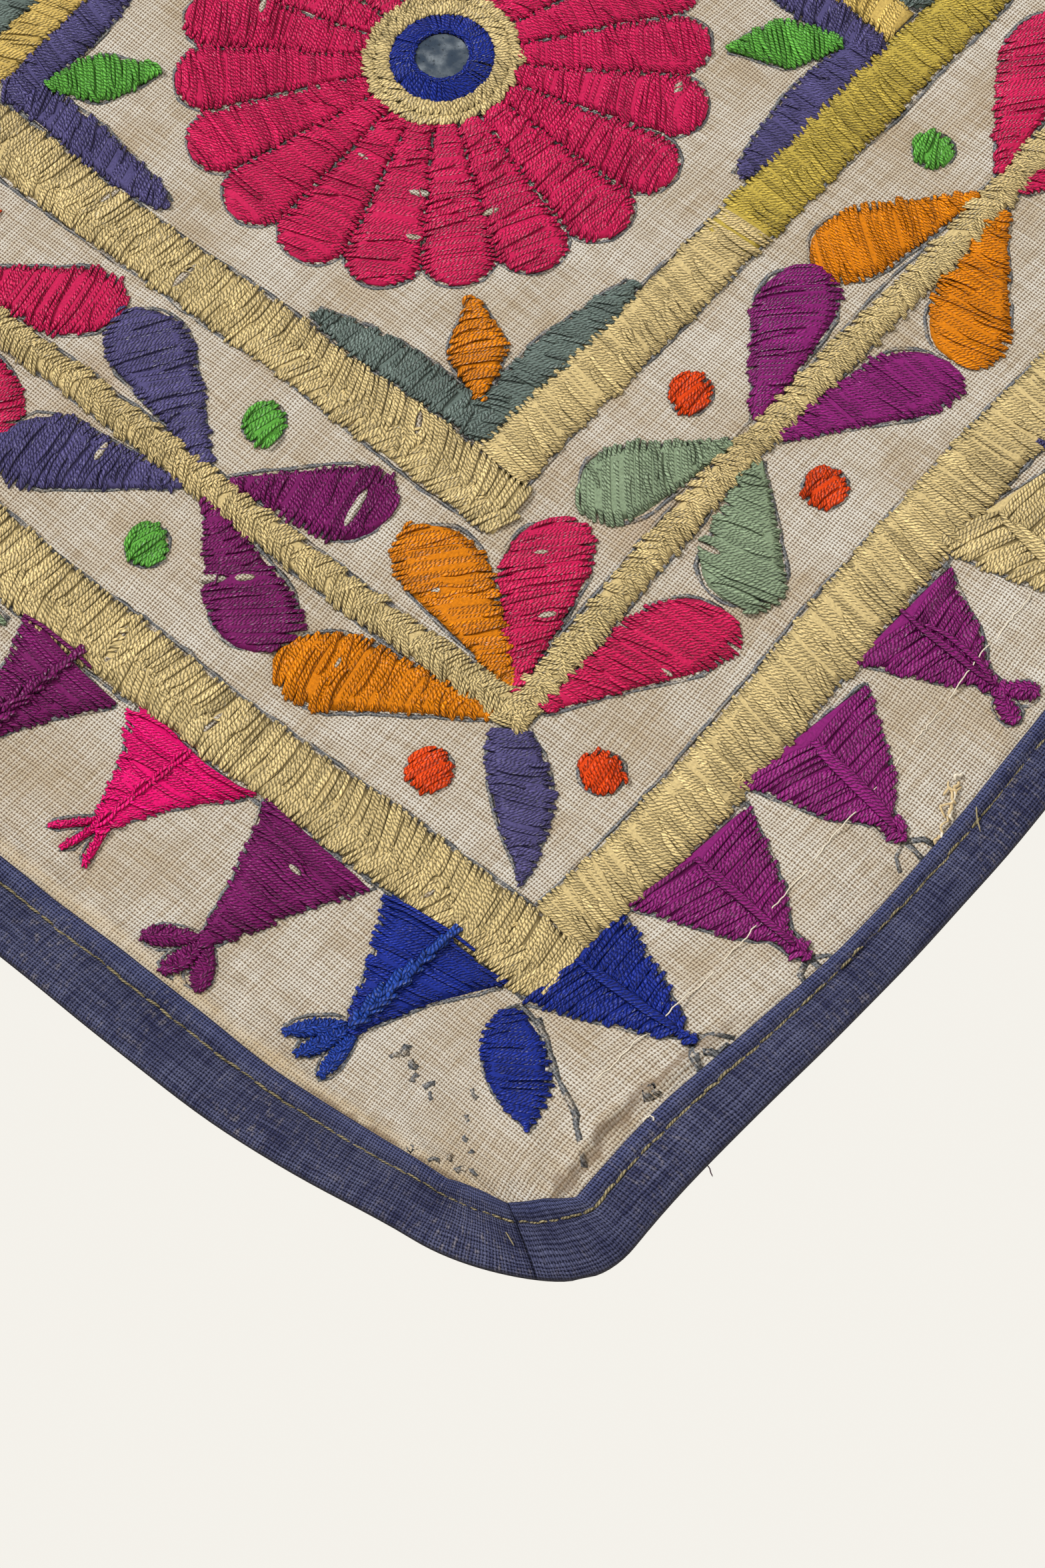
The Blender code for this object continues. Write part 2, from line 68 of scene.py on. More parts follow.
# The border's repeats
BAND_HALF = 0.0085
INNER_HALF = 0.0078
STEM_HALF = 0.0042
PENNANTS = 19
PENNANT_MARGIN = 0.02
SIDE_PENNANTS_START = 0.0615
FOOT_PENNANTS_START = SIDE.base
PENNANT_LEAN = {"foot": -0.0085, "top": 0.0040, "left": 0.0050, "right": -0.0030}
# How the photographed pennants, from the corner on, leave their even places: the joints between them, and
# their tips, as pairs of how far along their edge and how far inward
JOINTS_MOVED = {"foot": (0.0, -0.0055, -0.0045), "left": (-0.0040, 0.0020, 0.0023, 0.0043, 0.0020)}
TIPS_MOVED = {
    "foot": ((0.0023, 0.0), (-0.0017, -0.0026), (-0.0070, 0.0004), (-0.0026, 0.0038)),
    "left": ((0.0015, 0.0015), (0.0020, -0.0039), (0.0032, 0.0033)),
}
STEM_NODES = (0.0, 0.154, 0.314, 0.5, 0.686, 0.846, 1.0)
LEAF_ROOT = 0.0036
LEAF_SPREAD = 0.0225
LEAF_HALF = 0.0106
LEAF_BLUNT = 0.12
LEAF_WIDEST = 0.72
LEAF_REACH = 0.49
CORNER_LEAF_REACH = 0.545
NEXT_LEAF_REACH = 0.42
INNER_LEAF_LESS = 0.045
LEAF_LEAN = 0.42
DOT_SPREAD = 0.0205
DOT_RADIUS = 0.0055
INNER_CORNER_HALF = 0.0071
OUTER_CORNER_HALF = 0.0077
INNER_CORNER_BLUNT = 0.22
OUTER_CORNER_BLUNT = 0.09
# Root and tip of the corner leaves, as distances from the corners of the stem and of the outer band
INNER_CORNER_LEAF = ((0.0041, 0.0007), (0.0326, 0.0292))
OUTER_CORNER_LEAF = ((0.0041, -0.0006), (0.0236, 0.0247))
CORNER_LEAF_LEAN = 0.38
# The two dots by each corner
CORNER_DOTS = ((0.0934, 0.1111), (0.1167, 0.0813))
# Where the inner band's mustard stretch starts along the foot, and the step between the stem's bunches
MUSTARD_START = 0.2555
STEM_STEP = 0.0026

# The flower, from its middle outwards
PETALS = 20
MIRROR_RADIUS = 0.0070
MIRROR_TOP = 0.0014
BLUE_RING = 0.0140
CREAM_RING = 0.0197
FLOWER_RADIUS = 0.0680
PETAL_TIP = 0.0086

# The motifs in each field's corners
BRACKET_ARM = 0.0565
BRACKET_HALF = 0.0049
BRACKET_LINE = 0.0037
BUD_NEAR = 0.0075
BUD_FAR = 0.0285
BUD_HALF = 0.0078
BUD_SHAPE = ((0, 0.25, 0.5, 0.75, 1), (0.12, 0.62, 1.0, 0.62, 0.12))

# How the petals' strands bow, as a share of their length, and how high they lie
PETAL_BOW = -0.12
PETAL_LIFT = 0.00045
# The stitches round a mirror, from its rim outwards
RIM_STITCHES = 46
BLUE_STITCHES = 62
CREAM_STITCHES = 70

# Half widths of the foot's and the top's pennants by share of their height, and which of them has a tassel
OUTERMOST_TAPER = ((0, 0.5, 0.84, 0.90, 1), (1, 0.58, 0.26, 0.07, 0.12))
FOOT_TAPER = ((0, 0.3, 0.6, 0.72, 0.79, 0.93, 1), (1, 0.74, 0.46, 0.27, 0.13, 0.15, 0.05))
FORKED_PENNANT = 3

# The tacking's line across the foot's pennants, and the places of a few loose ends
TACKING_LINE = ((0.0600, 0.0255), (0.0825, 0.0266), (0.1085, 0.0292), (0.1465, 0.0316), (0.2200, 0.0318))
SEWING_ENDS = (
    ((0.0160, 0.0215), (0.0140, 0.0190), (0.0128, 0.0172)),
    ((0.1640, 0.0140), (0.1600, 0.0105), (0.1570, 0.0072)),
)
HAIR = ((0.0610, 0.0008), (0.0606, -0.0008), (0.0594, -0.0022))

# The drawn guide lines by the photographed corner: width and places of each stroke, and for each dab its
# place, direction, half length and width
GUIDE_STROKES = (
    (0.0014, (0.0633, 0.0459), (0.0595, 0.0390), (0.0562, 0.0325), (0.0522, 0.0242), (0.0433, 0.0155)),
    (0.0013, (0.0800, 0.0185), (0.0775, 0.0150), (0.0745, 0.0120)),
    (0.0013, (0.0796, 0.0156), (0.0822, 0.0135), (0.0850, 0.0138)),
)
GUIDE_DABS = (
    (0.0394, 0.0652, 0.6, 0.0015, 0.0019), (0.0368, 0.0668, -0.5, 0.0012, 0.0016),
    (0.0378, 0.0612, 1.4, 0.0016, 0.0017), (0.0355, 0.0585, 0.2, 0.0012, 0.0015),
    (0.0362, 0.0540, -0.6, 0.0015, 0.0019), (0.0345, 0.0518, 0.9, 0.0012, 0.0014),
    (0.0410, 0.0433, 1.2, 0.0015, 0.0012), (0.0355, 0.0406, 1.0, 0.0009, 0.0012),
    (0.0308, 0.0381, 1.4, 0.0008, 0.0012), (0.0196, 0.0468, -0.6, 0.0014, 0.0013),
    (0.0200, 0.0410, -0.9, 0.0016, 0.0013), (0.0237, 0.0382, 0.3, 0.0013, 0.0012),
    (0.0222, 0.0347, -0.5, 0.0014, 0.0014), (0.0278, 0.0346, 0.1, 0.0016, 0.0012),
    (0.0242, 0.0319, 1.1, 0.0010, 0.0012), (0.0650, 0.0168, 0.9, 0.0018, 0.0022),
    (0.0668, 0.0160, 1.5, 0.0014, 0.0015),
)

# The maker's unsteady hand, in the cloth's plane, then the waves of the hanging cloth off that plane
Wave = namedtuple("Wave", "reach u_length v_length phase")
WANDER_U = (Wave(0.0012, 0.90, 0.33, 0.6), Wave(0.0006, 0.21, 0.17, 2.0))
WANDER_V = (Wave(0.0012, 0.29, 0.80, 1.9), Wave(0.0006, 0.16, 0.23, 4.1))
WAVES = (Wave(0.0030, 0.55, 2.40, 0.4), Wave(0.0016, 0.31, -0.90, 2.2), Wave(0.0010, 0.26, 0.33, 5.0))
# How the cloth's plane is pulled in near a corner by its tightly sewn binding, first along its foot and
# then along its side, and the corners' shares of that. The photograph shows the lower left one.
Pull = namedtuple("Pull", "u v du dv u_reach v_reach")
PULLS = (
    Pull(u=0.045, v=0.032, du=0.0, dv=0.0095, u_reach=0.036, v_reach=0.026),
    Pull(u=0.0, v=0.020, du=0.0095, dv=0.0, u_reach=0.018, v_reach=0.035),
)
Corner = namedtuple("Corner", "right top share")
CORNERS = (
    Corner(False, False, 1.0),
    Corner(True, False, 0.7),
    Corner(False, True, 0.6),
    Corner(True, True, 0.8),
)
# Small puckers that stitching leaves in the cloth, fading out under the mirrors
PUCKERS = (
    Wave(0.00016, 0.034, 0.071, 0.3), Wave(0.00014, -0.043, 0.039, 2.6), Wave(0.00012, 0.083, 0.031, 4.4),
    Wave(0.00010, -0.029, 0.060, 1.2), Wave(0.00020, 0.110, -0.090, 3.3),
)
PUCKER_FREE = 0.014
# The rolled strip of the cloth beside the binding up its sides: where it starts, its width, its height, and
# how broad its round top is as a share of its width
ROLL_START = 0.0170
ROLL_WIDE = 0.0060
ROLL_RISE = 0.0010
ROLL_SPREAD = 0.38
# The creased fold beside the binding along the foot, near the photographed corner. Its line wavers, and
# climbs from FOLD_TURN towards the corner. Its height is uneven.
FOLD_LINE = 0.0176
FOLD_WAVER = 0.0013
FOLD_WAVER_STEP = 0.0070
FOLD_TURN = 0.045
FOLD_CLIMB = 0.06
FOLD_MIDDLE = 0.058
FOLD_REACH = 0.026
FOLD_WIDE = 0.0013
FOLD_RISE = 0.0017
FOLD_UNEVEN = 0.4
FOLD_UNEVEN_STEP = 0.0037
# Short creases of the cloth between the two: the middle, the direction, half the length and the height
Crease = namedtuple("Crease", "u v angle length rise")
CREASES = (
    Crease(0.0520, 0.0215, 0.20, 0.0100, 0.0009),
    Crease(0.0330, 0.0235, -0.65, 0.0090, 0.0010),
    Crease(0.0235, 0.0340, -1.25, 0.0100, 0.0010),
    Crease(0.0240, 0.0560, 1.45, 0.0110, 0.0008),
    Crease(0.0740, 0.0210, -0.15, 0.0090, 0.0007),
)
CREASE_WIDE = 0.0015

# One strand of floss: its width, its height, how far it dives at each end, and how it is laid in pairs
STRAND = 0.00110
STRAND_TALL = 0.00052
DIVE = 0.0008
PITCH = 0.00140
PAIR_SPREAD = 0.00035
RAGGED = 0.00045
OVERHANG = 0.0002
PAD = 0.00040
CLUMPING = 0.14
BAND_PITCH = 0.00150
# The share of satin stitches that are crossed, and how far a crossing strand ends ahead of those it crosses
CROSSED = 0.40
CROSS_SLANT = 0.0016
# The length of one turn of a strand's plies, and how much they turn across it
TWIST = 0.00104
PLY_SLANT = 1.3
# Beyond what shows, one wide strand stands for each pair
FAR_WIDTH = 1.75
# The pad of crossing threads that lies under the strands of a motif, in its own colour, darkened in part by
# its material as painted shade between the strands
BED_RISE = 0.00077
BED_INSET = 0.0006
# How far the drawn lines lie in under the edges of the stitching
INK_UNDER = 0.0001
# How unsteady each stitch is: its bow, slowly along a row and each by itself, and its height
BOW_DRIFT = 0.00014
BOW_UNEVEN = 0.00012
RISE_UNEVEN = 0.00009
# How deep a strand's pinched ends sink, and where round its section its width is measured
SUNK = 0.0001
WIDEST_ANGLE = 18
# The step over which the direction of a line is read
NEARBY = 0.0004
# The edges of what the photograph shows, each the line where a u + b v is c
SHOWN_EDGES = ((0.779, 0.627, 0.372), (-0.975, 1.0, 0.170), (1.0, -1.376, 0.195))

# What the photograph shows is worked strand by strand in full, with more rings where strands bend round
# a worn slit; the rest has simpler strands. Each strand has its section's angles, and for each ring its place
# (within the dive up to 1, and beyond it after that), how far it is lifted and how wide it is.
Detail = namedtuple("Detail", "angles shares lifts swells")


def detail(angles, *halves):
    """A strand whose second half mirrors its first."""
    return Detail(angles, *(half + half[::-1] for half in halves))


FULL = 5 * (1.0,)
NEAR = detail((-20, 58, 122, 200), (0.0, 0.45, 1.25), (0.0, 0.72, 1.0), (0.0, 0.85, 1.0))
BENT = detail(NEAR.angles, (0.0, 0.45, 1.06, 1.15, 1.24, 1.33, 1.42), (0.0, 0.72) + FULL, (0.0, 0.85) + FULL)
FAR = detail((-30, 90, 210), (0.0, 1.0), (0.0, 1.0), (0.0, 1.1))

rng = np.random.default_rng(20)


def dye(red, green, blue):
    """A colour as the eye names it, from 0 to 255, in the linear values that a shader takes."""
    return tuple((value / 255) ** 2.2 for value in (red, green, blue))


CREAM = dye(213, 189, 133)
CRIMSON = dye(204, 32, 86)
HOT_PINK = dye(236, 6, 112)
PLUM = dye(120, 28, 96)
PURPLE = dye(136, 34, 112)
ROYAL = dye(30, 48, 140)
LIGHT_BLUE = dye(40, 72, 162)
SLATE = dye(84, 78, 124)
TEAL_GREY = dye(104, 118, 112)
SAGE = dye(136, 154, 124)
ORANGE = dye(218, 126, 0)
RED_ORANGE = dye(226, 70, 10)
GREEN = dye(98, 172, 68)
MUSTARD = dye(190, 166, 74)
GOLD = dye(212, 180, 100)
SEWING = dye(146, 134, 102)
TACKING = dye(222, 212, 192)
LINT = dye(206, 182, 138)
DARK_HAIR = dye(70, 54, 62)


def waves_at(waves, u, v):
    """The sum of waves at places of the cloth."""
    return sum(
        wave.reach * np.sin(math.tau * (u / wave.u_length + v / wave.v_length) + wave.phase) for wave in waves
    )


def flower_places():
    """The middles of the flowers, row by row from the foot."""
    return [
        (SIDE.field + column * (FIELD_WIDE + DIVIDER) + FIELD_WIDE / 2,
         FOOT.field + row * (FIELD_TALL + DIVIDER) + FIELD_TALL / 2)
        for row in range(FIELDS) for column in range(FIELDS)
    ]


def pucker(u, v):
    """How far the small puckers push the cloth forward."""
    free = 1.0
    for middle in flower_places():
        square = (u - middle[0]) ** 2 + (v - middle[1]) ** 2
        free = free * (1 - np.exp(-square / PUCKER_FREE ** 2))
    return free * waves_at(PUCKERS, u, v)


def pulled(u, v):
    """Where places of the flat cloth lie once its corners are pulled in."""
    moved_u, moved_v = u, v
    for corner in CORNERS:
        from_side = WIDTH - u if corner.right else u
        from_foot = HEIGHT - v if corner.top else v
        for pull in PULLS:
            away = ((from_side - pull.u) / pull.u_reach) ** 2 + ((from_foot - pull.v) / pull.v_reach) ** 2
            share = corner.share * np.exp(-away / 2)
            moved_u = moved_u + (-pull.du if corner.right else pull.du) * share
            moved_v = moved_v + (-pull.dv if corner.top else pull.dv) * share
    return moved_u, moved_v


def folds(u, v):
    """How far the cloth stands up in the roll and the folds that its binding has pushed up."""
    from_side = np.minimum(u, WIDTH - u)
    roll = ROLL_RISE * np.exp(-((from_side - ROLL_START - ROLL_WIDE / 2) / (ROLL_WIDE * ROLL_SPREAD)) ** 2)
    line = FOLD_LINE + FOLD_WAVER * np.sin(u / FOLD_WAVER_STEP) + FOLD_CLIMB * np.maximum(FOLD_TURN - u, 0)
    fold = np.exp(-((u - FOLD_MIDDLE) / FOLD_REACH) ** 4 - ((v - line) / FOLD_WIDE) ** 2)
    rise = roll + FOLD_RISE * fold * (1 + FOLD_UNEVEN * np.sin(u / FOLD_UNEVEN_STEP))
    for crease in CREASES:
        c, s = math.cos(crease.angle), math.sin(crease.angle)
        along = (u - crease.u) * c + (v - crease.v) * s
        across = (v - crease.v) * c - (u - crease.u) * s
        rise = rise + crease.rise * np.exp(-(along / crease.length) ** 4 - (across / CREASE_WIDE) ** 2)
    return rise


def hang(places, height):
    """Hangs places on the cloth, height in front of its middle surface. Its top edge is held flat."""
    u, v = places[..., 0], places[..., 1]
    held = 1.0 - (np.clip(v, 0, HEIGHT) / HEIGHT) ** 3
    across, up = pulled(u, v)
    x = across - WIDTH / 2 + waves_at(WANDER_U, u, v) - waves_at(WANDER_U, WIDTH / 2, HEIGHT)
    z = up - HEIGHT + waves_at(WANDER_V, u, v) - waves_at(WANDER_V, WIDTH / 2, HEIGHT)
    y = held * waves_at(WAVES, u, v) - pucker(u, v) - folds(u, v) - height
    return np.stack((x, y, z), axis=-1)


def shown(places):
    """Whether places lie in the part of the cloth that the photograph shows, or just outside it."""
    u, v = places[..., 0], places[..., 1]
    return np.all([a * u + b * v < limit for a, b, limit in SHOWN_EDGES], axis=0)


def mix(a, b, share):
    return a + (b - a) * share


def heading(angle):
    """The direction at an angle from the foot, against the clock."""
    return np.array((math.cos(angle), math.sin(angle)))


def turned(way, angle):
    """A direction turned by an angle against the clock."""
    c, s = math.cos(angle), math.sin(angle)
    return np.array((c * way[0] - s * way[1], s * way[0] + c * way[1]))


def leftward(ways):
    """Directions turned a quarter against the clock."""
    return np.stack((-ways[..., 1], ways[..., 0]), axis=-1)


def lengthwise(start, end):
    """The direction from start to end."""
    return (end - start) / np.linalg.norm(end - start)


def crosswise(start, end):
    """The direction across a line from start to end, on its left."""
    return leftward(end - start) / np.linalg.norm(end - start)


def distances(places):
    """How far along a line each of its places is."""
    return np.concatenate(([0], np.cumsum(np.linalg.norm(np.diff(places, axis=0), axis=1))))


def place_at(places, far):
    """Where a line is once it has gone far along."""
    reached = distances(places)
    return np.stack([np.interp(far, reached, places[:, axis]) for axis in (0, 1)], axis=-1)


def along_line(places, shares):
    """Places at the given shares of a line's length, and the directions across it and along it there."""
    places = np.asarray(places, float)
    at = shares * distances(places)[-1]
    tangent = place_at(places, at + NEARBY) - place_at(places, at - NEARBY)
    tangent = tangent / np.maximum(np.linalg.norm(tangent, axis=1), 1e-9)[:, None]
    return place_at(places, at), leftward(tangent), tangent


def along_foot(along, inset):
    return np.stack(np.broadcast_arrays(along, inset), axis=-1)


def along_top(along, inset):
    return along_foot(along, HEIGHT - inset)


def along_left(along, inset):
    return along_foot(inset, along)


def along_right(along, inset):
    return along_foot(WIDTH - inset, along)


Edge = namedtuple("Edge", "name place own beside length pennants upright")
EDGES = (
    Edge("foot", along_foot, FOOT, SIDE, WIDTH, FOOT_PENNANTS_START, False),
    Edge("top", along_top, FOOT, SIDE, WIDTH, FOOT_PENNANTS_START, False),
    Edge("left", along_left, SIDE, FOOT, HEIGHT, SIDE_PENNANTS_START, True),
    Edge("right", along_right, SIDE, FOOT, HEIGHT, SIDE_PENNANTS_START, True),
)


def unsteady(count, reach, steps):
    """Slow random drift along a row, which the eye reads as hand work. Its knots are steps apart."""
    knots = rng.normal(0, reach, int(count / steps) + 3)
    return np.interp(np.arange(count) / steps, np.arange(len(knots)), knots)


def add_mesh(name, points, quads, triangles, values, bake):
    """A smooth mesh from arrays, with values on its points by name and its bake map from bake (n, 2)."""
    data = bpy.data.meshes.new(name)
    data.vertices.add(len(points))
    data.vertices.foreach_set("co", points.astype(np.float32).ravel())
    corners = np.concatenate((quads.ravel(), triangles.ravel())).astype(np.int32)
    sizes = np.concatenate((np.full(len(quads), 4), np.full(len(triangles), 3)))
    data.loops.add(len(corners))
    data.loops.foreach_set("vertex_index", corners)
    data.polygons.add(len(sizes))
    data.polygons.foreach_set("loop_start", np.concatenate(([0], np.cumsum(sizes)[:-1])).astype(np.int32))
    data.update(calc_edges=True)
    for key, value in values.items():
        kind, slot = {1: ("FLOAT", "value"), 3: ("FLOAT_VECTOR", "vector")}[value.shape[-1]]
        data.attributes.new(key, kind, "POINT").data.foreach_set(slot, value.astype(np.float32).ravel())
    bake_map = data.uv_layers.new(name="OFBake")
    bake_map.data.foreach_set("uv", bake[corners].astype(np.float32).ravel())
    data.shade_smooth()
    piece = bpy.data.objects.new(name, data)
    bpy.context.scene.collection.objects.link(piece)
    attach(piece, "root")
    return piece


# Where strands have worn apart. Each slit lies along the strands there: its middle, its length and its width.
Slit = namedtuple("Slit", "u v length gap")
OUTER_SLITS = (
    (0.0738, 0.1881, 0.0090, 0.0015), (0.0728, 0.1575, 0.0060, 0.0011), (0.0700, 0.0905, 0.0040, 0.0008),
)
INNER_SLITS = (
    (0.1556, 0.2431, 0.0078, 0.0014), (0.1613, 0.2738, 0.0050, 0.0011), (0.1602, 0.1698, 0.0062, 0.0013),
)
LEAF_SLITS = (
    (0.1345, 0.1668, 0.0096, 0.0016), (0.1000, 0.1816, 0.0062, 0.0015), (0.1050, 0.1757, 0.0044, 0.0012),
    (0.1772, 0.0954, 0.0050, 0.0014), (0.1407, 0.1142, 0.0044, 0.0013), (0.1524, 0.1253, 0.0030, 0.0009),
    (0.1306, 0.1378, 0.0040, 0.0010), (0.1072, 0.2248, 0.0048, 0.0012), (0.1454, 0.0847, 0.0028, 0.0008),
    (0.1020, 0.1450, 0.0026, 0.0007),
)
PETAL_SLITS = (
    (0.2097, 0.2136, 0.0046, 0.0014), (0.1990, 0.2066, 0.0040, 0.0013), (0.2166, 0.1965, 0.0040, 0.0011),
    (0.2753, 0.1852, 0.0044, 0.0016), (0.2258, 0.2818, 0.0040, 0.0011), (0.2093, 0.2318, 0.0030, 0.0009),
)
PENNANT_SLITS = ((0.0560, 0.1180, 0.0034, 0.0009),)
# How far to either side of a slit its strands bend round it, how sharply that ends along and across it, and
# how much more than the gap they move, in widths of a strand
SLIT_REACH = 0.0034
SLIT_ENDS = 1.9
SLIT_SIDES = 1.6
SLIT_MARGIN = 0.30

# One stitch on the flat cloth. aside is how far it is from the middle of its pair, and 0 if it has none.
STITCH = np.dtype([
    ("start", float, 2), ("end", float, 2), ("bow", float), ("aside", float), ("width", float),
    ("rise", float), ("tilt", float), ("floors", float, 2), ("color", float, 3), ("tone", float),
    ("phase", float),
])
Strands = namedtuple("Strands", "points quads triangles values bake")


def passing(rows, place):
    """How far each stitch passes from a place, and the stitches' directions."""
    chord = rows["end"] - rows["start"]
    length = np.maximum(np.linalg.norm(chord, axis=1), 1e-5)
    share = np.clip(((place - rows["start"]) * chord).sum(axis=1) / length ** 2, 0, 1)
    return np.linalg.norm(rows["start"] + chord * share[:, None] - place, axis=1), chord / length[:, None]


def slit_ways(rows, slits):
    """The slits, each with the direction of the long strand nearest to it."""
    laid = rows[rows["aside"] != 0]
    found = []
    for slit in slits:
        far, ways = passing(laid, np.array((slit.u, slit.v)))
        found.append((slit, ways[np.argmin(far)]))
    return found


def beside_slits(rows, slits):
    """Which stitches pass close enough to a slit to bend round it."""
    close = np.zeros(len(rows), bool)
    for slit in slits:
        far, _ = passing(rows, np.array((slit.u, slit.v)))
        close |= far < SLIT_REACH
    return close


def part_strands(places, ways):
    """Pushes strands aside round each small worn slit, so that the cloth shows between them."""
    for slit, way in ways:
        offset = places - np.array((slit.u, slit.v))
        ahead, aside = offset @ way, offset @ leftward(way)
        opened = np.exp(-(ahead / slit.length * SLIT_ENDS) ** 4)
        opened = opened * np.exp(-(aside / SLIT_REACH * SLIT_SIDES) ** 2)
        push = np.sign(aside) * (slit.gap / 2 + STRAND * SLIT_MARGIN) * opened
        places = places + push[..., None] * leftward(way)
    return places


def worn_gap(slit, way):
    """The cloth that shows in a worn slit, over the thread bed there."""
    shares = np.linspace(-1, 1, 9)
    middle = np.array((slit.u, slit.v)) + way * slit.length * 0.55 * shares[:, None]
    across = np.tile(leftward(way), (len(shares), 1))
    half = slit.gap * 0.75 * np.sqrt(1.02 - shares ** 2) * rng.uniform(0.85, 1.15, len(shares))
    top = BED_RISE + 0.00010
    gaps.add(middle, across, np.stack((-half, half, 0 * half), axis=1), (top, top, 0.0))


def station_shares(length, detail):
    """The shares of each strand's length where its rings and its pinched ends are. length is (n, 1)."""
    dive = np.minimum(DIVE / length, 0.3)[:, 0]
    half = len(detail.shares) / 2
    shares = np.empty((len(length), len(detail.shares)))
    for index, share in enumerate(detail.shares):
        inner = mix(dive, 1 - dive, share - 1) if share > 1 else share * dive
        shares[:, index] = inner if index < half else 1 - inner
    return shares


def of_strand(grid):
    """Each strand's points in one row: its first pinched end, its rings, its last pinched end."""
    first, last = grid[:, :1, 0], grid[:, -1:, 0]
    return np.concatenate((first, grid[:, 1:-1].reshape(len(grid), -1, grid.shape[-1]), last), axis=1)


def strand_faces(stations, sides):
    """The quads and the triangles of one strand, facing outward."""
    point = np.arange(sides)
    after = (point + 1) % sides
    quads = []
    for level in range(stations - 3):
        low, high = 1 + level * sides, 1 + (level + 1) * sides
        quads.append(np.stack((low + point, low + after, high + after, high + point), axis=-1))
    last = 1 + (stations - 3) * sides
    triangles = [
        np.stack((np.zeros(sides, int), 1 + after, 1 + point), axis=-1),
        np.stack((np.full(sides, last + sides), last + point, last + after), axis=-1),
    ]
    return np.concatenate(quads), np.concatenate(triangles)


class Work:
    """The stitches of one piece, on the flat cloth, until they are made into strands."""

    def __init__(self, name, slits=()):
        self.name = name
        self.slits = [Slit(*row) for row in slits]
        self.ways = []
        self.rows = []

    def add(self, start, end, color, bow=0.0, width=STRAND, rise=PAD, tilt=0.0, floors=(0.0, 0.0), pair=True):
        """Stitches from start to end, both (n, 2). bow bends them sideways, tilt raises their starts over
        their ends, and floors are the heights at which the two ends dive. A pair is two strands."""
        count = len(start)
        if not count:
            return
        tone = rng.normal(0, 1, count)
        for side in (-1, 1) if pair else (0,):
            row = np.zeros(count, STITCH)
            row["start"] = start + rng.normal(0, RAGGED / 3, (count, 2))
            row["end"] = end + rng.normal(0, RAGGED / 3, (count, 2))
            row["bow"] = bow + unsteady(count, BOW_DRIFT, 4) + rng.normal(0, BOW_UNEVEN, count)
            row["aside"] = side * PAIR_SPREAD * rng.uniform(0.8, 1.15, count)
            row["width"] = width * rng.uniform(0.84, 1.16, count)
            row["rise"] = rise + rng.normal(0, RISE_UNEVEN, count)
            row["tilt"] = tilt
            row["floors"] = floors
            row["color"] = color
            row["tone"] = tone + rng.normal(0, 0.5, count)
            row["phase"] = rng.uniform(0, 1, count)
            self.rows.append(row)

    def build(self, finish):
        """Makes the strands, as one piece: both of a pair where they show, and one wide one elsewhere."""
        rows = np.concatenate(self.rows)
        near = shown((rows["start"] + rows["end"]) / 2)
        kept = near | (rows["aside"] >= 0)
        rows, near = rows[kept], near[kept]
        paired = ~near & (rows["aside"] > 0)
        rows["aside"][paired] = 0
        rows["width"][paired] *= FAR_WIDTH
        self.ways = slit_ways(rows, self.slits)
        for slit, way in self.ways:
            worn_gap(slit, way)
        bent = near & beside_slits(rows, self.slits)
        kinds = ((near & ~bent, NEAR), (bent, BENT), (~near, FAR))
        parts = []
        first = 0
        for chosen, detail in kinds:
            if chosen.any():
                parts.append(self.strands(rows[chosen], detail, first))
                first += len(parts[-1].points)
        points, quads, triangles, values, bake = (np.concatenate(column) for column in zip(*parts))
        named = {"dye": values[:, 0:3], "tone": values[:, 3:4], "twist": values[:, 4:7]}
        piece = add_mesh(self.name, points, quads, triangles, named, bake)
        piece.data.materials.append(finish)
        return piece

    def strands(self, rows, detail, first):
        """Closed strands along the stitches: rings of points between two pinched ends. first is the number
        of their first point."""
        rows = rows[:, None]
        chord = rows["end"] - rows["start"]
        way = chord / np.maximum(np.linalg.norm(chord, axis=-1), 1e-5)[..., None]
        start = rows["start"] - way * OVERHANG
        chord = chord + way * 2 * OVERHANG
        length = np.maximum(np.linalg.norm(chord, axis=-1), 1e-5)
        shares = station_shares(length, detail)
        across = leftward(chord) / length[..., None]
        bowed = rows["bow"] * 4 * shares * (1 - shares) + rows["aside"] * (1 - (2 * shares - 1) ** 4)
        line = part_strands(start + chord * shares[..., None] + across * bowed[..., None], self.ways)
        lift = np.array(detail.lifts)
        floor = mix(rows["floors"][..., 0], rows["floors"][..., 1], shares)
        height = CLOTH / 2 + floor + lift * (STRAND_TALL / 2 + rows["rise"] + rows["tilt"] * (0.5 - shares))
        height = height - (1 - lift) * SUNK

        angles = np.radians(detail.angles)
        swells = np.array(detail.swells)[:, None]
        sideways = swells * rows["width"][..., None] / 2 * np.cos(angles) / np.cos(np.radians(WIDEST_ANGLE))
        flat = line[:, :, None] + across[:, :, None] * sideways[..., None]
        high = height[..., None] + swells * STRAND_TALL / 2 * np.sin(angles)
        count, stations, sides = high.shape
        points = of_strand(hang(flat, high))
        each = points.shape[1]
        along = (shares * length + rows["phase"])[..., None]
        twist = np.broadcast_arrays(along, np.linspace(0, 1, sides), rows["phase"][..., None])
        shade = np.concatenate((rows["color"], rows["tone"][..., None]), axis=-1)
        values = (np.broadcast_to(shade, (count, each, 4)), of_strand(np.stack(twist, axis=-1)))
        quads, triangles = strand_faces(stations, sides)
        offsets = first + (np.arange(count) * each)[:, None, None]
        return Strands(
            points.reshape(-1, 3),
            (quads + offsets).reshape(-1, 4),
            (triangles + offsets).reshape(-1, 3),
            np.concatenate(values, axis=-1).reshape(-1, 7),
            (of_strand(flat) / np.array((WIDTH, HEIGHT))).reshape(-1, 2),
        )


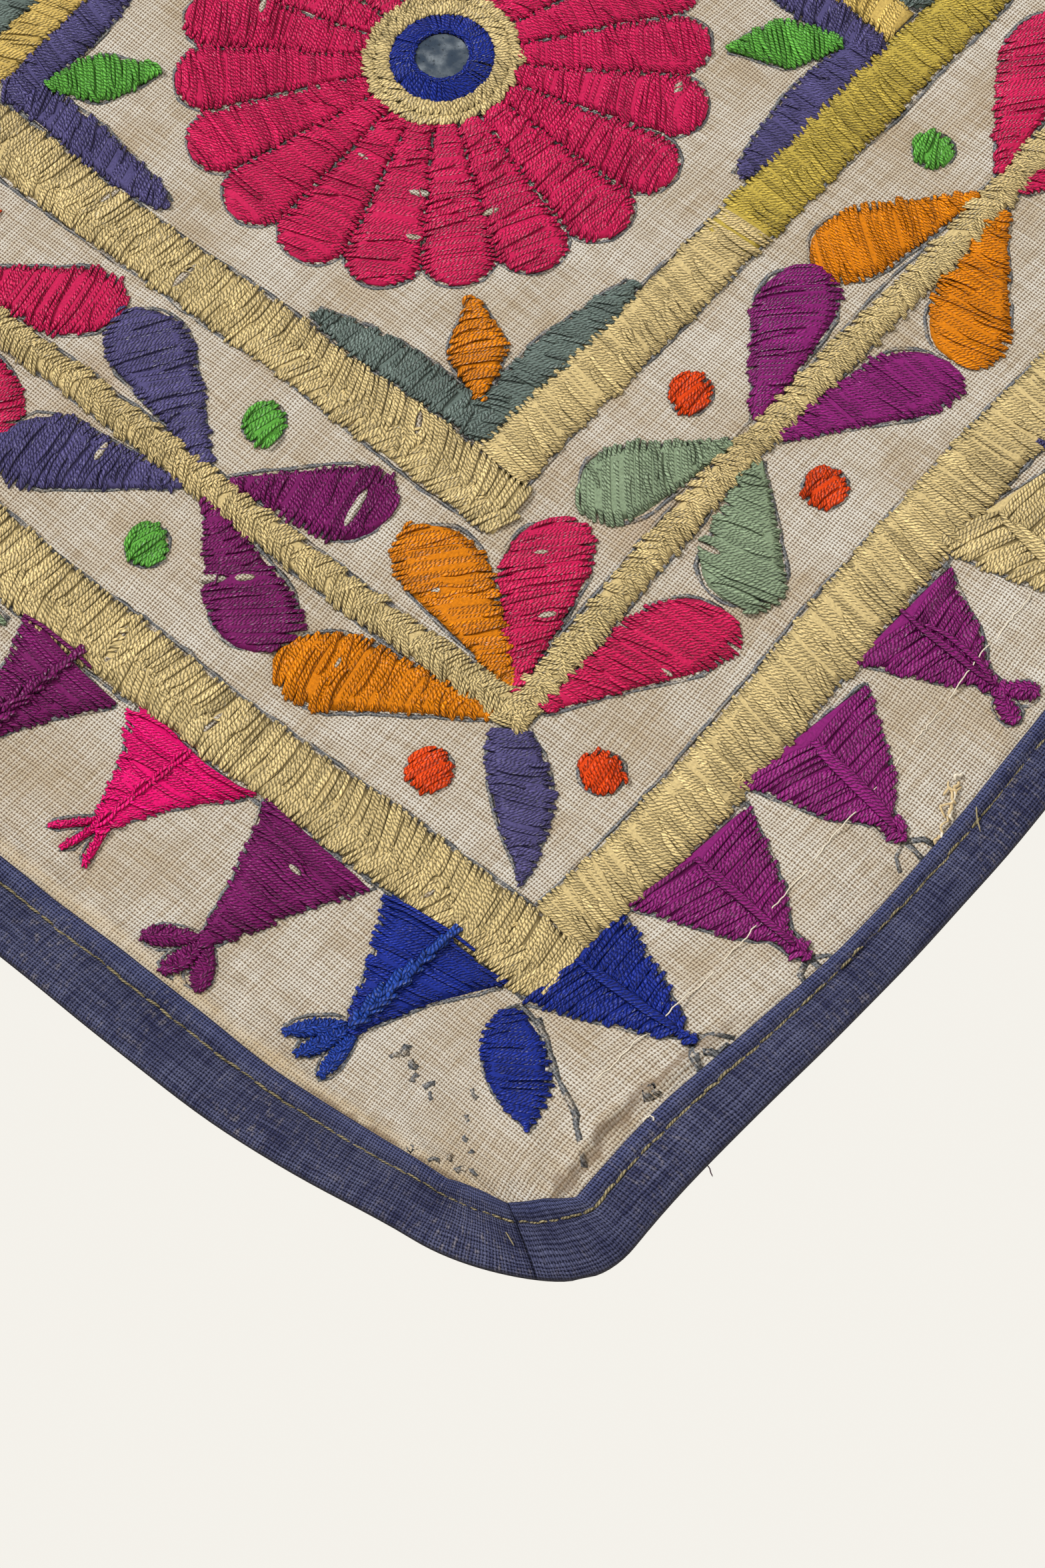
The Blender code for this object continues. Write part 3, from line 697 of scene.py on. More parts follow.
def clumped(count):
    """Shifts, in stitches, that draw neighbours together in twos to fives, with a crease between those."""
    number = np.arange(count)
    clump = np.searchsorted(np.cumsum(rng.integers(2, 6, count)), number, side="right")
    middle = np.bincount(clump, number) / np.maximum(np.bincount(clump), 1)
    return (middle[clump] - number) * CLUMPING


def across_spine(spine, left, right, pitch=PITCH, lean=0.0, wobble=0.0003):
    """Starts and ends of stitches laid across a spine. left and right are half widths by share of the
    spine's length, and lean shifts each stitch's ends along it."""
    length = distances(np.asarray(spine, float))[-1]
    count = max(int(round(length / pitch)), 1)
    share = (np.arange(count) + 0.5 + clumped(count) + rng.normal(0, 0.05, count)) / count
    share = np.clip(share, 0, 1)
    middle, normal, tangent = along_line(spine, share)
    ends = []
    for sign, half in ((1, left), (-1, right)):
        wide = half(share) + unsteady(count, wobble, 5) + rng.normal(0, RAGGED, count) * 0.8
        wide = np.maximum(wide, 0.0003)[:, None]
        slant = lean + unsteady(count, 0.03, 4)[:, None]
        ends.append(middle + sign * (normal * wide - tangent * slant * wide))
    return ends


def steady(half):
    """A half width that is the same all along."""
    def width(share):
        return np.full_like(share, half)
    return width


def scaled(shape, half):
    """A half width by share of a length: the shape's own, times half."""
    def width(share):
        return half * shape(share)
    return width


def tapered(shares, sizes, half):
    """A half width by share of a length, through the given sizes at the given shares, times half."""
    def width(share):
        return half * np.interp(share, shares, sizes)
    return width


def round_leaf(share):
    """The half width, from 0 to 1, of a leaf that widens steadily from its root and ends round."""
    grown = mix(LEAF_BLUNT, 1.0, np.minimum(share / LEAF_WIDEST, 1.0))
    return grown * np.sqrt(np.clip(1 - (np.maximum(share - LEAF_WIDEST, 0) / (1 - LEAF_WIDEST)) ** 2, 0, 1))


def corner_leaf(blunt, half):
    """The half width of a leaf that starts blunt and ends in a point."""
    def width(share):
        return half * np.sin(math.pi * mix(blunt, 1.0, share))
    return width


def ring(middle, radius, count, start=0.0):
    """Places round a circle, against the clock."""
    angles = start + np.linspace(0, math.tau, count, endpoint=False)
    return np.asarray(middle) + radius * np.stack((np.cos(angles), np.sin(angles)), axis=-1)


class Ribbons:
    """Closed strips that follow lines on the cloth, all in one piece: drawn lines, or beds of thread."""

    def __init__(self, name):
        self.name = name
        self.parts = []
        self.size = 0

    def add(self, middle, across, offsets, heights, color=(0.0, 0.0, 0.0)):
        """A strip with its section's offsets (n, k) to the left and heights over the cloth's face. They
        go round the section against the clock, seen along the line, and its last point is hidden."""
        count, sides = offsets.shape
        flat = middle[:, None] + across[:, None] * offsets[..., None]
        high = np.broadcast_to(CLOTH / 2 + np.asarray(heights), (count, sides))
        index = self.size + np.arange(count * sides).reshape(count, sides)
        after = np.roll(index, -1, axis=1)
        quads = np.stack((index[:-1], index[1:], after[1:], after[:-1]), axis=-1).reshape(-1, 4)
        fan = np.arange(1, sides - 1)
        caps = [
            np.stack((np.full(sides - 2, index[0, 0]), index[0, fan], index[0, fan + 1]), axis=-1),
            np.stack((np.full(sides - 2, index[-1, 0]), index[-1, fan + 1], index[-1, fan]), axis=-1),
        ]
        colors = np.broadcast_to(np.asarray(color, float), (count * sides, 3))
        points = hang(flat, high).reshape(-1, 3)
        self.parts.append((points, flat.reshape(-1, 2), colors, quads, np.concatenate(caps)))
        self.size += count * sides

    def build(self, finish):
        """Makes all the strips, as one piece."""
        points, flats, colors, quads, caps = (np.concatenate(part) for part in zip(*self.parts))
        values = {"flat": np.concatenate((flats, np.zeros((len(flats), 1))), axis=1), "dye": colors}
        piece = add_mesh(self.name, points, quads, caps, values, flats / np.array((WIDTH, HEIGHT)))
        piece.data.materials.append(finish)
        return piece


def uneven_shares(places, step, skip):
    """Shares of a line's length a step apart where it shows, and skip times that elsewhere."""
    length = np.linalg.norm(np.diff(places, axis=0), axis=1).sum()
    shares = np.linspace(0, 1, max(int(length / step), 2) + 1)
    middle, _, _ = along_line(places, shares)
    near = shown(middle)
    number = np.arange(len(shares))
    kept = near | (number % skip == 0) | (number == number[-1])
    return shares[kept], near[kept]


drawn = Ribbons("drawn_lines")
beds = Ribbons("thread_beds")
gaps = Ribbons("worn_gaps")


def draw(places, width=0.0011, closed=False):
    """One of the maker's drawn guide lines. A closed one is a little to one side of its motif, whose
    stitches cover the rest of it."""
    places = np.asarray(places, float)
    if closed:
        places = np.concatenate((places, places[:1])) + rng.normal(0, 0.00030, 2)
    shares, near = uneven_shares(places, 0.0028, 5)
    middle, across, _ = along_line(places, shares)
    half = width / 2 * rng.uniform(0.55, 1.35, len(shares))
    middle = middle + across * rng.normal(0, 0.00015, len(shares))[:, None]
    lift = np.where(near, 0.00006, 0.00014)
    heights = np.stack((lift, lift, 0 * lift - 0.0003), axis=1)
    drawn.add(middle, across, np.stack((-half, half, 0 * half), axis=1), heights)


def bed(spine, left, right, color, inset=BED_INSET):
    """The bed under one motif, between its left and right half widths by share of its spine's length."""
    spine = np.asarray(spine, float)
    length = distances(spine)[-1]
    shares, _ = uneven_shares(spine, 0.0030, 3)
    shares = mix(inset / length, 1 - inset / length, shares)
    middle, across, _ = along_line(spine, shares)
    one = np.maximum(left(shares) - inset, 0.0002)
    other = np.maximum(right(shares) - inset, 0.0002)
    offsets = np.stack((-other, -0.7 * other, 0.7 * one, one, 0 * one), axis=1)
    beds.add(middle, across, offsets, (-0.0001, BED_RISE, BED_RISE, -0.0001, -0.0004), color)


# Colours of the border, from the photographed corner onwards
LEAF_COLORS = {
    "left": (
        (ORANGE, PLUM), (SLATE, CRIMSON), (SAGE, PURPLE), (ORANGE, SLATE), (CRIMSON, PLUM), (SAGE, ORANGE),
    ),
    "foot": (
        (CRIMSON, SAGE), (PURPLE, ORANGE), (CRIMSON, SLATE), (SAGE, PURPLE), (ORANGE, CRIMSON), (SLATE, SAGE),
    ),
    "right": (
        (CRIMSON, SLATE), (PURPLE, ORANGE), (SAGE, CRIMSON), (SLATE, PLUM), (ORANGE, SAGE), (CRIMSON, PURPLE),
    ),
    "top": (
        (SLATE, ORANGE), (PLUM, CRIMSON), (SAGE, PURPLE), (ORANGE, CRIMSON), (SLATE, SAGE), (PURPLE, ORANGE),
    ),
}
# The dots' colours in turn, up the sides and along the foot and the top
SIDE_DOTS = (GREEN, RED_ORANGE)
FOOT_DOTS = (RED_ORANGE, GREEN)
PENNANT_COLORS = {
    "left": (ROYAL, PLUM, HOT_PINK, PLUM, SAGE, SLATE, ORANGE, PURPLE),
    "foot": (ROYAL, PURPLE, PURPLE, PURPLE, CREAM, SLATE, CRIMSON, SAGE),
    "right": (PLUM, ORANGE, SLATE, HOT_PINK, SAGE, PURPLE, ROYAL, CRIMSON),
    "top": (ROYAL, PLUM, SAGE, ORANGE, PURPLE, CREAM, SLATE, HOT_PINK),
}
# Mirrored along the cloth, up it, both or neither
FLIPS = ((False, False), (False, True), (True, False), (True, True))


def mirrored(u, v, flips, wide=WIDTH, tall=HEIGHT):
    """A place, mirrored within the cloth or within a smaller rectangle."""
    return np.array((wide - u if flips[0] else u, tall - v if flips[1] else v))


def satin(work, spine, half, color, lean, bow=0.0004, pitch=PITCH, **more):
    """Pairs of strands laid side by side across a spine, on their bed, some crossed by shorter ones."""
    start, end = across_spine(spine, half, half, pitch, lean)
    work.add(start, end, color, bow=bow, **more)
    crossed(work, start, end, color, CROSSED, bow, more.get("rise", PAD))
    bed(spine, half, half, color)


def crossed(work, start, end, color, share, bow, rise):
    """Shorter strands over some of a row of stitches, from either side and at another slant."""
    count = len(start)
    if count < 3:
        return
    flipped = (rng.random(count) < 0.5)[:, None]
    one, other = np.where(flipped, end, start), np.where(flipped, start, end)
    along = np.gradient((start + end) / 2, axis=0)
    along = along / np.maximum(np.linalg.norm(along, axis=1), 1e-9)[:, None]
    reach = rng.uniform(0.35, 0.85, (count, 1))
    slant = np.where(flipped, -1, 1) * CROSS_SLANT + rng.normal(0, 0.0005, (count, 1))
    far = mix(one, other, reach) + along * slant
    one = one + along * rng.normal(0, 0.0004, (count, 1))
    chosen = rng.random(count) < share
    shades = np.broadcast_to(color, (count, 3))
    work.add(one[chosen], far[chosen], shades[chosen], bow=bow, rise=rise + 0.00024, tilt=0.0003,
             floors=(0.0, 0.0005), pair=False)


def outline_of(spine, half):
    """The closed outline of a motif with the given half width along its spine."""
    shares = np.linspace(0, 1, 18)
    middle, across, _ = along_line(spine, shares)
    wide = across * half(shares)[:, None]
    return np.concatenate((middle + wide, (middle - wide)[::-1]))


Course = namedtuple("Course", "start end along low high colors drift")
# How far the ends of a band's stitches stand out or in
BAND_RAGGED = 0.00038
# How far the stitches of a side band lean, in its lower and its upper layer
LOWER_LEAN = 0.0052
UPPER_LEAN = 0.0032
# Their turn by the distance from the nearer corner: away from it close by, and towards it further on
TURN_PLACES = (0.0, 0.012, 0.05, 0.12)
TURNS = (-0.6, -1.2, -1.0, 0.5)
FOOT_BAND_LEAN = 0.0022
# How far along the upper layer of strands lies from the lower
LAYER_SHIFT = 0.0008
BAND_BEDS = 12


def ragged_edge(count):
    """How far each stitch of a band stands out or in, bunched in twos."""
    bunched = np.repeat(rng.normal(0, BAND_RAGGED, count // 2 + 1), 2)[:count]
    return bunched + rng.normal(0, BAND_RAGGED / 3, count) + unsteady(count, BAND_RAGGED / 2, 9)


def herringbone(work, edge, course):
    """Two layers of strands that cross in the middle of a band, each from one side."""
    start, end, along, low, high, colors, drift = course
    count = len(along)
    turn = np.interp(np.minimum(along - start, end - along), TURN_PLACES, TURNS)
    turn = turn * np.where(along < edge.length / 2, 1, -1)
    lower_lean = LOWER_LEAN + unsteady(count, 0.0012, 7) + unsteady(count, 0.0020, 26)
    upper_lean = UPPER_LEAN + unsteady(count, 0.0012, 8) + unsteady(count, 0.0020, 22)
    reach = rng.uniform(0.46, 0.80, count)
    work.add(
        edge.place(along - turn * lower_lean * 0.6, low),
        edge.place(along + turn * lower_lean * reach * 0.9, mix(low, high, reach)),
        colors, bow=0.0002, rise=0.00040, tilt=0.0002, floors=(0.0, 0.00035),
    )
    reach = rng.uniform(0.45, 0.88, count)
    shift = LAYER_SHIFT + drift
    work.add(
        edge.place(along + shift - turn * upper_lean * 0.3, high),
        edge.place(along + shift + turn * upper_lean * reach, mix(high, low, reach)),
        colors, bow=0.0005, rise=0.00052, tilt=0.0003, floors=(0.0, 0.00055),
    )


def slanting(work, edge, course):
    """Strands right across a band, with shorter ones over most of them."""
    _, _, along, low, high, colors, drift = course
    count = len(along)
    lean = FOOT_BAND_LEAN + unsteady(count, 0.0010, 9) + unsteady(count, 0.0012, 30)
    near, far = edge.place(along - lean / 2, low), edge.place(along + lean / 2, high)
    work.add(near, far, colors, bow=0.0006 + drift, rise=0.00042)
    over = rng.random(count) < 0.60
    reach = rng.uniform(0.40, 0.75, count)
    ahead = along + LAYER_SHIFT + lean * (reach - 0.5) + rng.normal(0.0006, 0.0010, count)
    near = edge.place(along + LAYER_SHIFT - lean / 2, low - 0.0002)
    far = edge.place(ahead, mix(low, high, reach))
    work.add(near[over], far[over], colors[over], bow=0.0007, rise=0.00062, tilt=0.0003, floors=(0.0, 0.0006))


def long_band(work, edge, inset, beside, half, color_of, corner_reach):
    """A stitched band along one edge. The bands up the sides run over the corners, a little past the outer
    edges of those along the foot and the top, and are worked in herringbone; the others in slanting satin."""
    start = beside - half - corner_reach if edge.upright else beside + half
    end = edge.length - start
    along = np.arange(start, end, BAND_PITCH)
    count = len(along)
    along = along + clumped(count) * BAND_PITCH
    low = inset - half + ragged_edge(count)
    high = inset + half + ragged_edge(count)
    course = Course(start, end, along, low, high, color_of(along), unsteady(count, 0.0006, 16))
    (herringbone if edge.upright else slanting)(work, edge, course)
    joints = np.linspace(start, end, BAND_BEDS + 1)
    for one, other in zip(joints, joints[1:]):
        color = color_of(np.array([(one + other) / 2]))[0]
        spine = (edge.place(one, inset), edge.place(other, inset))
        bed(spine, steady(half), steady(half), color, inset=0.0003)


def cream_only(along):
    return np.tile(CREAM, (len(along), 1))


def inner_foot_color(along):
    """Cream, with a mustard stretch in the middle, as the photographed band has from one place on."""
    colors = cream_only(along)
    colors[(along > MUSTARD_START) & (along < WIDTH - MUSTARD_START)] = MUSTARD
    return colors


def bands():
    """The outer and the inner band on all four edges, and the drawn lines along both sides of each."""
    outer = Work("outer_band", slits=OUTER_SLITS)
    inner = Work("inner_band", slits=INNER_SLITS)
    for edge in EDGES:
        inner_color = cream_only if edge.upright else inner_foot_color
        courses = (
            (outer, edge.own.band, edge.beside.band, BAND_HALF, cream_only, 0.0012),
            (inner, edge.own.inner, edge.beside.inner, INNER_HALF, inner_color, 0.0024),
        )
        for work, *course in courses:
            long_band(work, edge, *course)
        for _, own, beside, half, _, _ in courses:
            for side in (-1, 1):
                reach = side * (half + 0.0001)
                along = np.linspace(beside + reach, edge.length - beside - reach, 120)
                draw(edge.place(along, own + reach + unsteady(120, 0.0005, 5)))
    outer.build(THREAD)
    inner.build(THREAD)


def stem_layer(work, edge, bunches, side):
    """Bunches of three strands each that leave one side of the stem and lean ahead over its middle."""
    along = np.repeat(bunches, 3)
    strand = np.tile((-1, 0, 1), len(bunches))
    ragged = np.repeat(rng.normal(0, 0.0004, len(bunches)), 3)
    ahead = np.repeat(rng.uniform(0.0018, 0.0050, len(bunches)), 3)
    across = np.repeat(rng.uniform(0.15, 0.85, len(bunches)), 3)
    shift = STEM_STEP / 2 if side > 0 else 0.0
    far = STEM_HALF * across + rng.normal(0, 0.0004, len(along))
    work.add(
        edge.place(along + shift + strand * 0.00060, edge.own.stem - side * (STEM_HALF + ragged)),
        edge.place(along + shift + ahead + strand * 0.00095, edge.own.stem + side * far),
        CREAM, bow=side * 0.0004, width=0.00085, rise=0.0005, tilt=0.0005, floors=(0.0, 0.0004), pair=False,
    )


def stems():
    """The plaited stem in the middle of the border: bunches of fine strands that cross its width, first
    one way and then the other, each over the ends of the last."""
    work = Work("stem")
    for edge in EDGES:
        start, end = edge.beside.stem - STEM_HALF, edge.length - edge.beside.stem + STEM_HALF
        bunches = np.arange(start, end - 0.004, STEM_STEP)
        bunches = bunches + rng.normal(0, 0.0004, len(bunches))
        for side in (-1, 1):
            stem_layer(work, edge, bunches, side)
        places = np.linspace(start, end, 120)
        drift = unsteady(120, 0.0004, 6)
        for side in (-1, 1):
            draw(edge.place(places, edge.own.stem + side * (STEM_HALF - INK_UNDER) + drift), 0.0010)
        bed(edge.place(places, edge.own.stem + 0 * places), steady(STEM_HALF), steady(STEM_HALF), CREAM)
    work.build(THREAD)


def stem_nodes(edge):
    """How far along an edge the nodes of its stem are."""
    return edge.beside.stem + (edge.length - 2 * edge.beside.stem) * np.array(STEM_NODES)


def leaf_reaches(number):
    """How far the two leaves between a node and the next reach towards each other. Those that spring
    from a corner are long."""
    if number == 0:
        return CORNER_LEAF_REACH, NEXT_LEAF_REACH
    if number == len(STEM_NODES) - 2:
        return NEXT_LEAF_REACH, CORNER_LEAF_REACH
    return LEAF_REACH, LEAF_REACH


def leaves():
    """Pairs of leaves that spring both ways from each node of the stem, and the corner leaves."""
    work = Work("leaves", slits=LEAF_SLITS)
    for edge in EDGES:
        nodes = stem_nodes(edge)
        for number, (low, high) in enumerate(zip(nodes, nodes[1:])):
            pair = zip((low, high), (1, -1), LEAF_COLORS[edge.name][number], leaf_reaches(number))
            for node, way, color, share in pair:
                for side in (-1, 1):
                    reach = share - INNER_LEAF_LESS if side > 0 and share > 0.5 else share
                    root = edge.place(node + way * LEAF_ROOT, edge.own.stem + side * LEAF_ROOT)
                    far = edge.place(node + way * (high - low) * reach, edge.own.stem + side * LEAF_SPREAD)
                    lean = LEAF_LEAN if way > 0 and not edge.upright else -LEAF_LEAN * 0.75
                    lean = lean + rng.uniform(-0.12, 0.12)
                    one_leaf(work, root, far, scaled(round_leaf, LEAF_HALF), color, lean)
    for corner, steps, shape, color in (
        ((SIDE.stem, FOOT.stem), INNER_CORNER_LEAF, (INNER_CORNER_BLUNT, INNER_CORNER_HALF), SLATE),
        ((SIDE.band - BAND_HALF, FOOT.band - BAND_HALF), OUTER_CORNER_LEAF,
         (OUTER_CORNER_BLUNT, OUTER_CORNER_HALF), ROYAL),
    ):
        for flips in FLIPS:
            root, far = (mirrored(corner[0] - u, corner[1] - v, flips) for u, v in steps)
            lean = -CORNER_LEAF_LEAN if flips[0] == flips[1] else CORNER_LEAF_LEAN
            one_leaf(work, root, far, corner_leaf(*shape), color, lean)
    work.build(THREAD)


def one_leaf(work, root, far, half, color, lean, rise=0.00040):
    """A leaf of satin from root to far, with the given half width by share of its length."""
    axis, across = far - root, crosswise(root, far)
    bend = rng.normal(0, 0.0006)
    shares = np.linspace(0, 1, 7)
    spine = [root + axis * share + across * bend * math.sin(math.pi * share) for share in shares]
    satin(work, spine, half, color, lean=lean, bow=rng.uniform(0.0002, 0.0010), rise=rise)
    draw(outline_of(spine, lambda share: np.maximum(half(share) - INK_UNDER, 0.0002)), closed=True)


def dots():
    """The dots between the leaves, two at each inner node of the stem and two by each corner."""
    work = Work("dots")
    for edge in EDGES:
        for number, node in enumerate(stem_nodes(edge)[1:-1]):
            for side in (-1, 1):
                middle = edge.place(node, edge.own.stem + side * DOT_SPREAD)
                one_dot(work, middle, (SIDE_DOTS if edge.upright else FOOT_DOTS)[number % 2])
    for flips in FLIPS:
        for u, v in CORNER_DOTS:
            one_dot(work, mirrored(u, v, flips), RED_ORANGE)
    work.build(THREAD)


def round_shape(share):
    """The half width, from 0 to 1, of a circle."""
    return np.sqrt(np.clip(1 - (2 * share - 1) ** 2, 0, 1))


def one_dot(work, middle, color):
    way = heading(rng.uniform(-0.3, 0.3) + math.pi * 0.45) * DOT_RADIUS
    circle = scaled(round_shape, DOT_RADIUS)
    satin(work, (middle - way, middle + way), circle, color, lean=0.1, rise=0.00040)
    draw(ring(middle, DOT_RADIUS - INK_UNDER, 20), closed=True)


Pennant = namedtuple("Pennant", "start end tip inset")


def moved(table, edge, number):
    """An entry of a table of moved places for one edge, or nothing moved beyond its end."""
    row = table.get(edge.name, ())
    return np.array(row[number]) if number < len(row) else 0.0


def pennant_places(edge):
    """Where each pennant of an edge starts and ends along it, and where its tip is."""
    first = edge.pennants
    pitch = (edge.length - 2 * first) / PENNANTS
    joints = [first + pitch * number + moved(JOINTS_MOVED, edge, number) for number in range(PENNANTS + 1)]
    places = []
    for number, (start, end) in enumerate(zip(joints, joints[1:])):
        shift = moved(TIPS_MOVED, edge, number)
        if not np.any(shift):
            share = min(number / 3, (PENNANTS - 1 - number) / 3, 1.0)
            shift = np.array((PENNANT_LEAN[edge.name] * share, 0.0))
        places.append(Pennant(start, end, (start + end) / 2 + shift[0], edge.own.apex + shift[1]))
    return places


def pennants():
    """The pointed pennants that hang from the outer band, with a tassel worked or drawn at each tip."""
    work = Work("pennants", slits=PENNANT_SLITS)
    tassels = Work("tassels")
    for edge in EDGES:
        for number, place in enumerate(pennant_places(edge)):
            color = PENNANT_COLORS[edge.name][number % len(PENNANT_COLORS[edge.name])]
            half = (place.end - place.start) * (0.5 - PENNANT_MARGIN)
            base = edge.place((place.start + place.end) / 2, edge.own.band - BAND_HALF - 0.0002)
            apex = edge.place(place.tip + rng.normal(0, 0.0003), place.inset)
            if edge.upright:
                side_pennant(work, tassels, base, apex, half, color, number)
            else:
                foot_pennant(work, tassels, base, apex, half, color, number)
    work.build(THREAD)
    tassels.build(THREAD)


def side_pennant(work, tassels, base, apex, half, color, number):
    """Long strands from side to side, narrowing to the tip, with a plait, a chain or nothing over them."""
    width = tapered((0, 0.45, 1), (1, 0.52, 0.11), half)
    draw(outline_of((base, apex), width), closed=True)
    if number % 3 == 2:
        satin(work, (base, apex), width, color, lean=0.12, bow=0.0012, pitch=0.00110, width=0.00086)
        chain(tassels, base, apex, color)
        tassel(tassels, base, apex, color, CHAINED)
        return
    satin(work, (base, apex), width, color, lean=rng.uniform(-0.05, 0.15), bow=0.0007)
    if number % 3 == 0:
        lighter = LIGHT_BLUE if color == ROYAL else color
        plait(tassels, base, apex, lighter)
        tassel(tassels, base, apex, mix(np.array(color), np.array(lighter), 0.6), POINTED)
    else:
        tassel(tassels, base, apex, color, ROUNDED)


def halved(work, base, apex, width, color, lean):
    """Two halves of shorter strands that meet along a pennant's middle."""
    start, end = across_spine((base, apex), width, width, PITCH, 0.0)
    axis = lengthwise(base, apex)
    for side, outer in ((-1, end), (1, start)):
        middle = base + axis * ((outer - base) @ axis)[:, None]
        reach = np.linalg.norm(outer - middle, axis=1)[:, None]
        inner = middle + axis * (reach * lean + 0.0010 + rng.normal(0, 0.0004, (len(outer), 1)))
        inner = inner + (middle - outer) * rng.uniform(0.0, 0.08, (len(outer), 1))
        work.add(outer, inner, color, bow=side * -0.0004, rise=0.0005, tilt=-0.0004, floors=(0.0, 0.0003))
    bed((base, apex), width, width, color)


def foot_pennant(work, tassels, base, apex, half, color, number):
    """Two halves of shorter strands that meet under a ridge down the middle, with a small lobe at the tip."""
    outermost = number in (0, PENNANTS - 1)
    width = tapered(*(OUTERMOST_TAPER if outermost else FOOT_TAPER), half)
    draw(outline_of((base, apex), width), closed=True)
    halved(work, base, apex, width, color, lean=0.12)
    couched(tassels, base, apex, color)
    if number == FORKED_PENNANT:
        tassel(tassels, base, apex, color, FORKED)
    else:
        unworked_lobes(apex, lengthwise(base, apex))


Tassel = namedtuple("Tassel", "angles length half shape pitch width")
POINTED = Tassel((-0.84, -0.36, 0.16), 0.0146, 0.0028, (0.35, 0.75, 1.0, 0.80, 0.12), 0.0012, 0.00100)
ROUNDED = Tassel((-0.84, -0.05, 0.70), 0.0124, 0.0030, (0.45, 0.80, 1.0, 1.0, 0.42), 0.0012, 0.00100)
CHAINED = Tassel((-0.68, -0.14, 0.47), 0.0108, 0.0015, (0.70, 1.0, 0.85, 1.0, 0.35), 0.0014, 0.00085)
FORKED = Tassel((-0.50, 0.70), 0.0082, 0.0028, (0.60, 0.95, 1.0, 1.0, 0.45), 0.0012, 0.00100)


def tassel(work, base, apex, color, kind):
    """Small plaited lobes that spread from a pennant's tip, each from its own root."""
    way = lengthwise(base, apex)
    aside = turned(way, math.pi / 2)
    for number, angle in enumerate(kind.angles):
        out = turned(way, angle + rng.normal(0, 0.05))
        root = apex + aside * 0.0015 * (number - (len(kind.angles) - 1) / 2) - way * 0.0006
        far = root + out * kind.length * rng.uniform(0.95, 1.05)
        lobe = tapered((0, 0.22, 0.5, 0.82, 1), kind.shape, kind.half)
        plaited(work, root, far, lobe, color, kind.pitch, width=kind.width)
        bed((root, far), lobe, lobe, color, inset=0.0004)
        draw(outline_of((root, far), scaled(lobe, 1.12)), 0.0009, closed=True)


def plaited(work, root, far, half, color, pitch, floor=0.0, width=STRAND, ahead=(0.0026, 0.0038)):
    """A narrow plait: stitches from either edge that cross the middle, each over the other's end."""
    axis, across = far - root, crosswise(root, far)
    length = np.linalg.norm(axis)
    count = max(int(length / pitch), 2)
    share = np.linspace(0.02, 0.88, count)
    floors = (floor, floor + 0.0003)
    for side in (-1, 1):
        wide = half(share) - width / 3
        reached = np.minimum(share + rng.uniform(*ahead, count) / length, 1.0)
        start = root + axis * share[:, None] + across * (side * wide)[:, None]
        beyond = (side * wide * rng.uniform(0.15, 0.60, count))[:, None]
        end = root + axis * reached[:, None] - across * beyond
        work.add(start, end, color, side * -0.0004, width, 0.0004, 0.0007, floors, pair=False)


def unworked_lobes(apex, way):
    """The guide lines of a tassel that was never worked: a short bowed stroke for each lobe."""
    for angle, bend in ((-0.75, -0.0012), (0.0, 0.0005), (0.70, 0.0013)):
        out = turned(way, angle + rng.normal(0, 0.08))
        side = turned(out, math.pi / 2)
        length = 0.0085 * rng.uniform(0.8, 1.1)
        shares = np.linspace(0, 1, 7)[:, None]
        places = apex + out * (0.0006 + length * shares) + side * bend * np.sin(math.pi * shares)
        draw(places, rng.uniform(0.0013, 0.0018))


def plait(work, base, apex, color):
    """A couched plait down a pennant's middle: long loose strands, broader towards the tip."""
    half = tapered((0, 0.35, 0.7, 1), (0.35, 0.65, 1.0, 0.75), 0.0035)
    root = base + (base - apex) * 0.14
    plaited(work, root, apex, half, color, 0.0041, floor=0.0009, width=0.00165, ahead=(0.0072, 0.0100))
    root = mix(root, apex, 0.08)
    plaited(work, root, apex, half, color, 0.0060, floor=0.0014, width=0.00150, ahead=(0.0065, 0.0090))


def chain(work, base, apex, color):
    """An open chain down a pennant's middle: links of two bowed strands."""
    links = 5
    for number in range(links):
        start = mix(base, apex, number / links + 0.02)[None]
        end = mix(base, apex, (number + 1.15) / links)[None]
        for side in (-1, 1):
            work.add(start, end, color, bow=side * 0.0008, rise=0.0004, floors=(0.0006, 0.0006), pair=False)


def couched(work, base, apex, color):
    """The ridge where a pennant's two halves meet: a thick bundle of long strands laid over it."""
    side = crosswise(base, apex)
    for offset, near, far in ((-0.0009, 0.16, 0.72), (0.0, 0.06, 0.90), (0.0008, 0.22, 0.86)):
        start = mix(base, apex, near + rng.normal(0, 0.02)) + side * offset
        end = mix(base, apex, far) + side * offset * 0.4
        work.add(start[None], end[None], color, bow=rng.normal(0, 0.0005), width=0.00130, rise=0.0008,
                 floors=(0.0004, 0.0006))


def flowers():
    """A ring of petals round each mirror, and the rings of stitches that hold the mirror."""
    petals = Work("petals", slits=PETAL_SLITS)
    rings = Work("flower_rings")
    for middle in flower_places():
        middle = np.array(middle)
        petal_ring(petals, middle)
        mirror_ring(rings, middle)
    petals.build(THREAD)
    rings.build(THREAD)


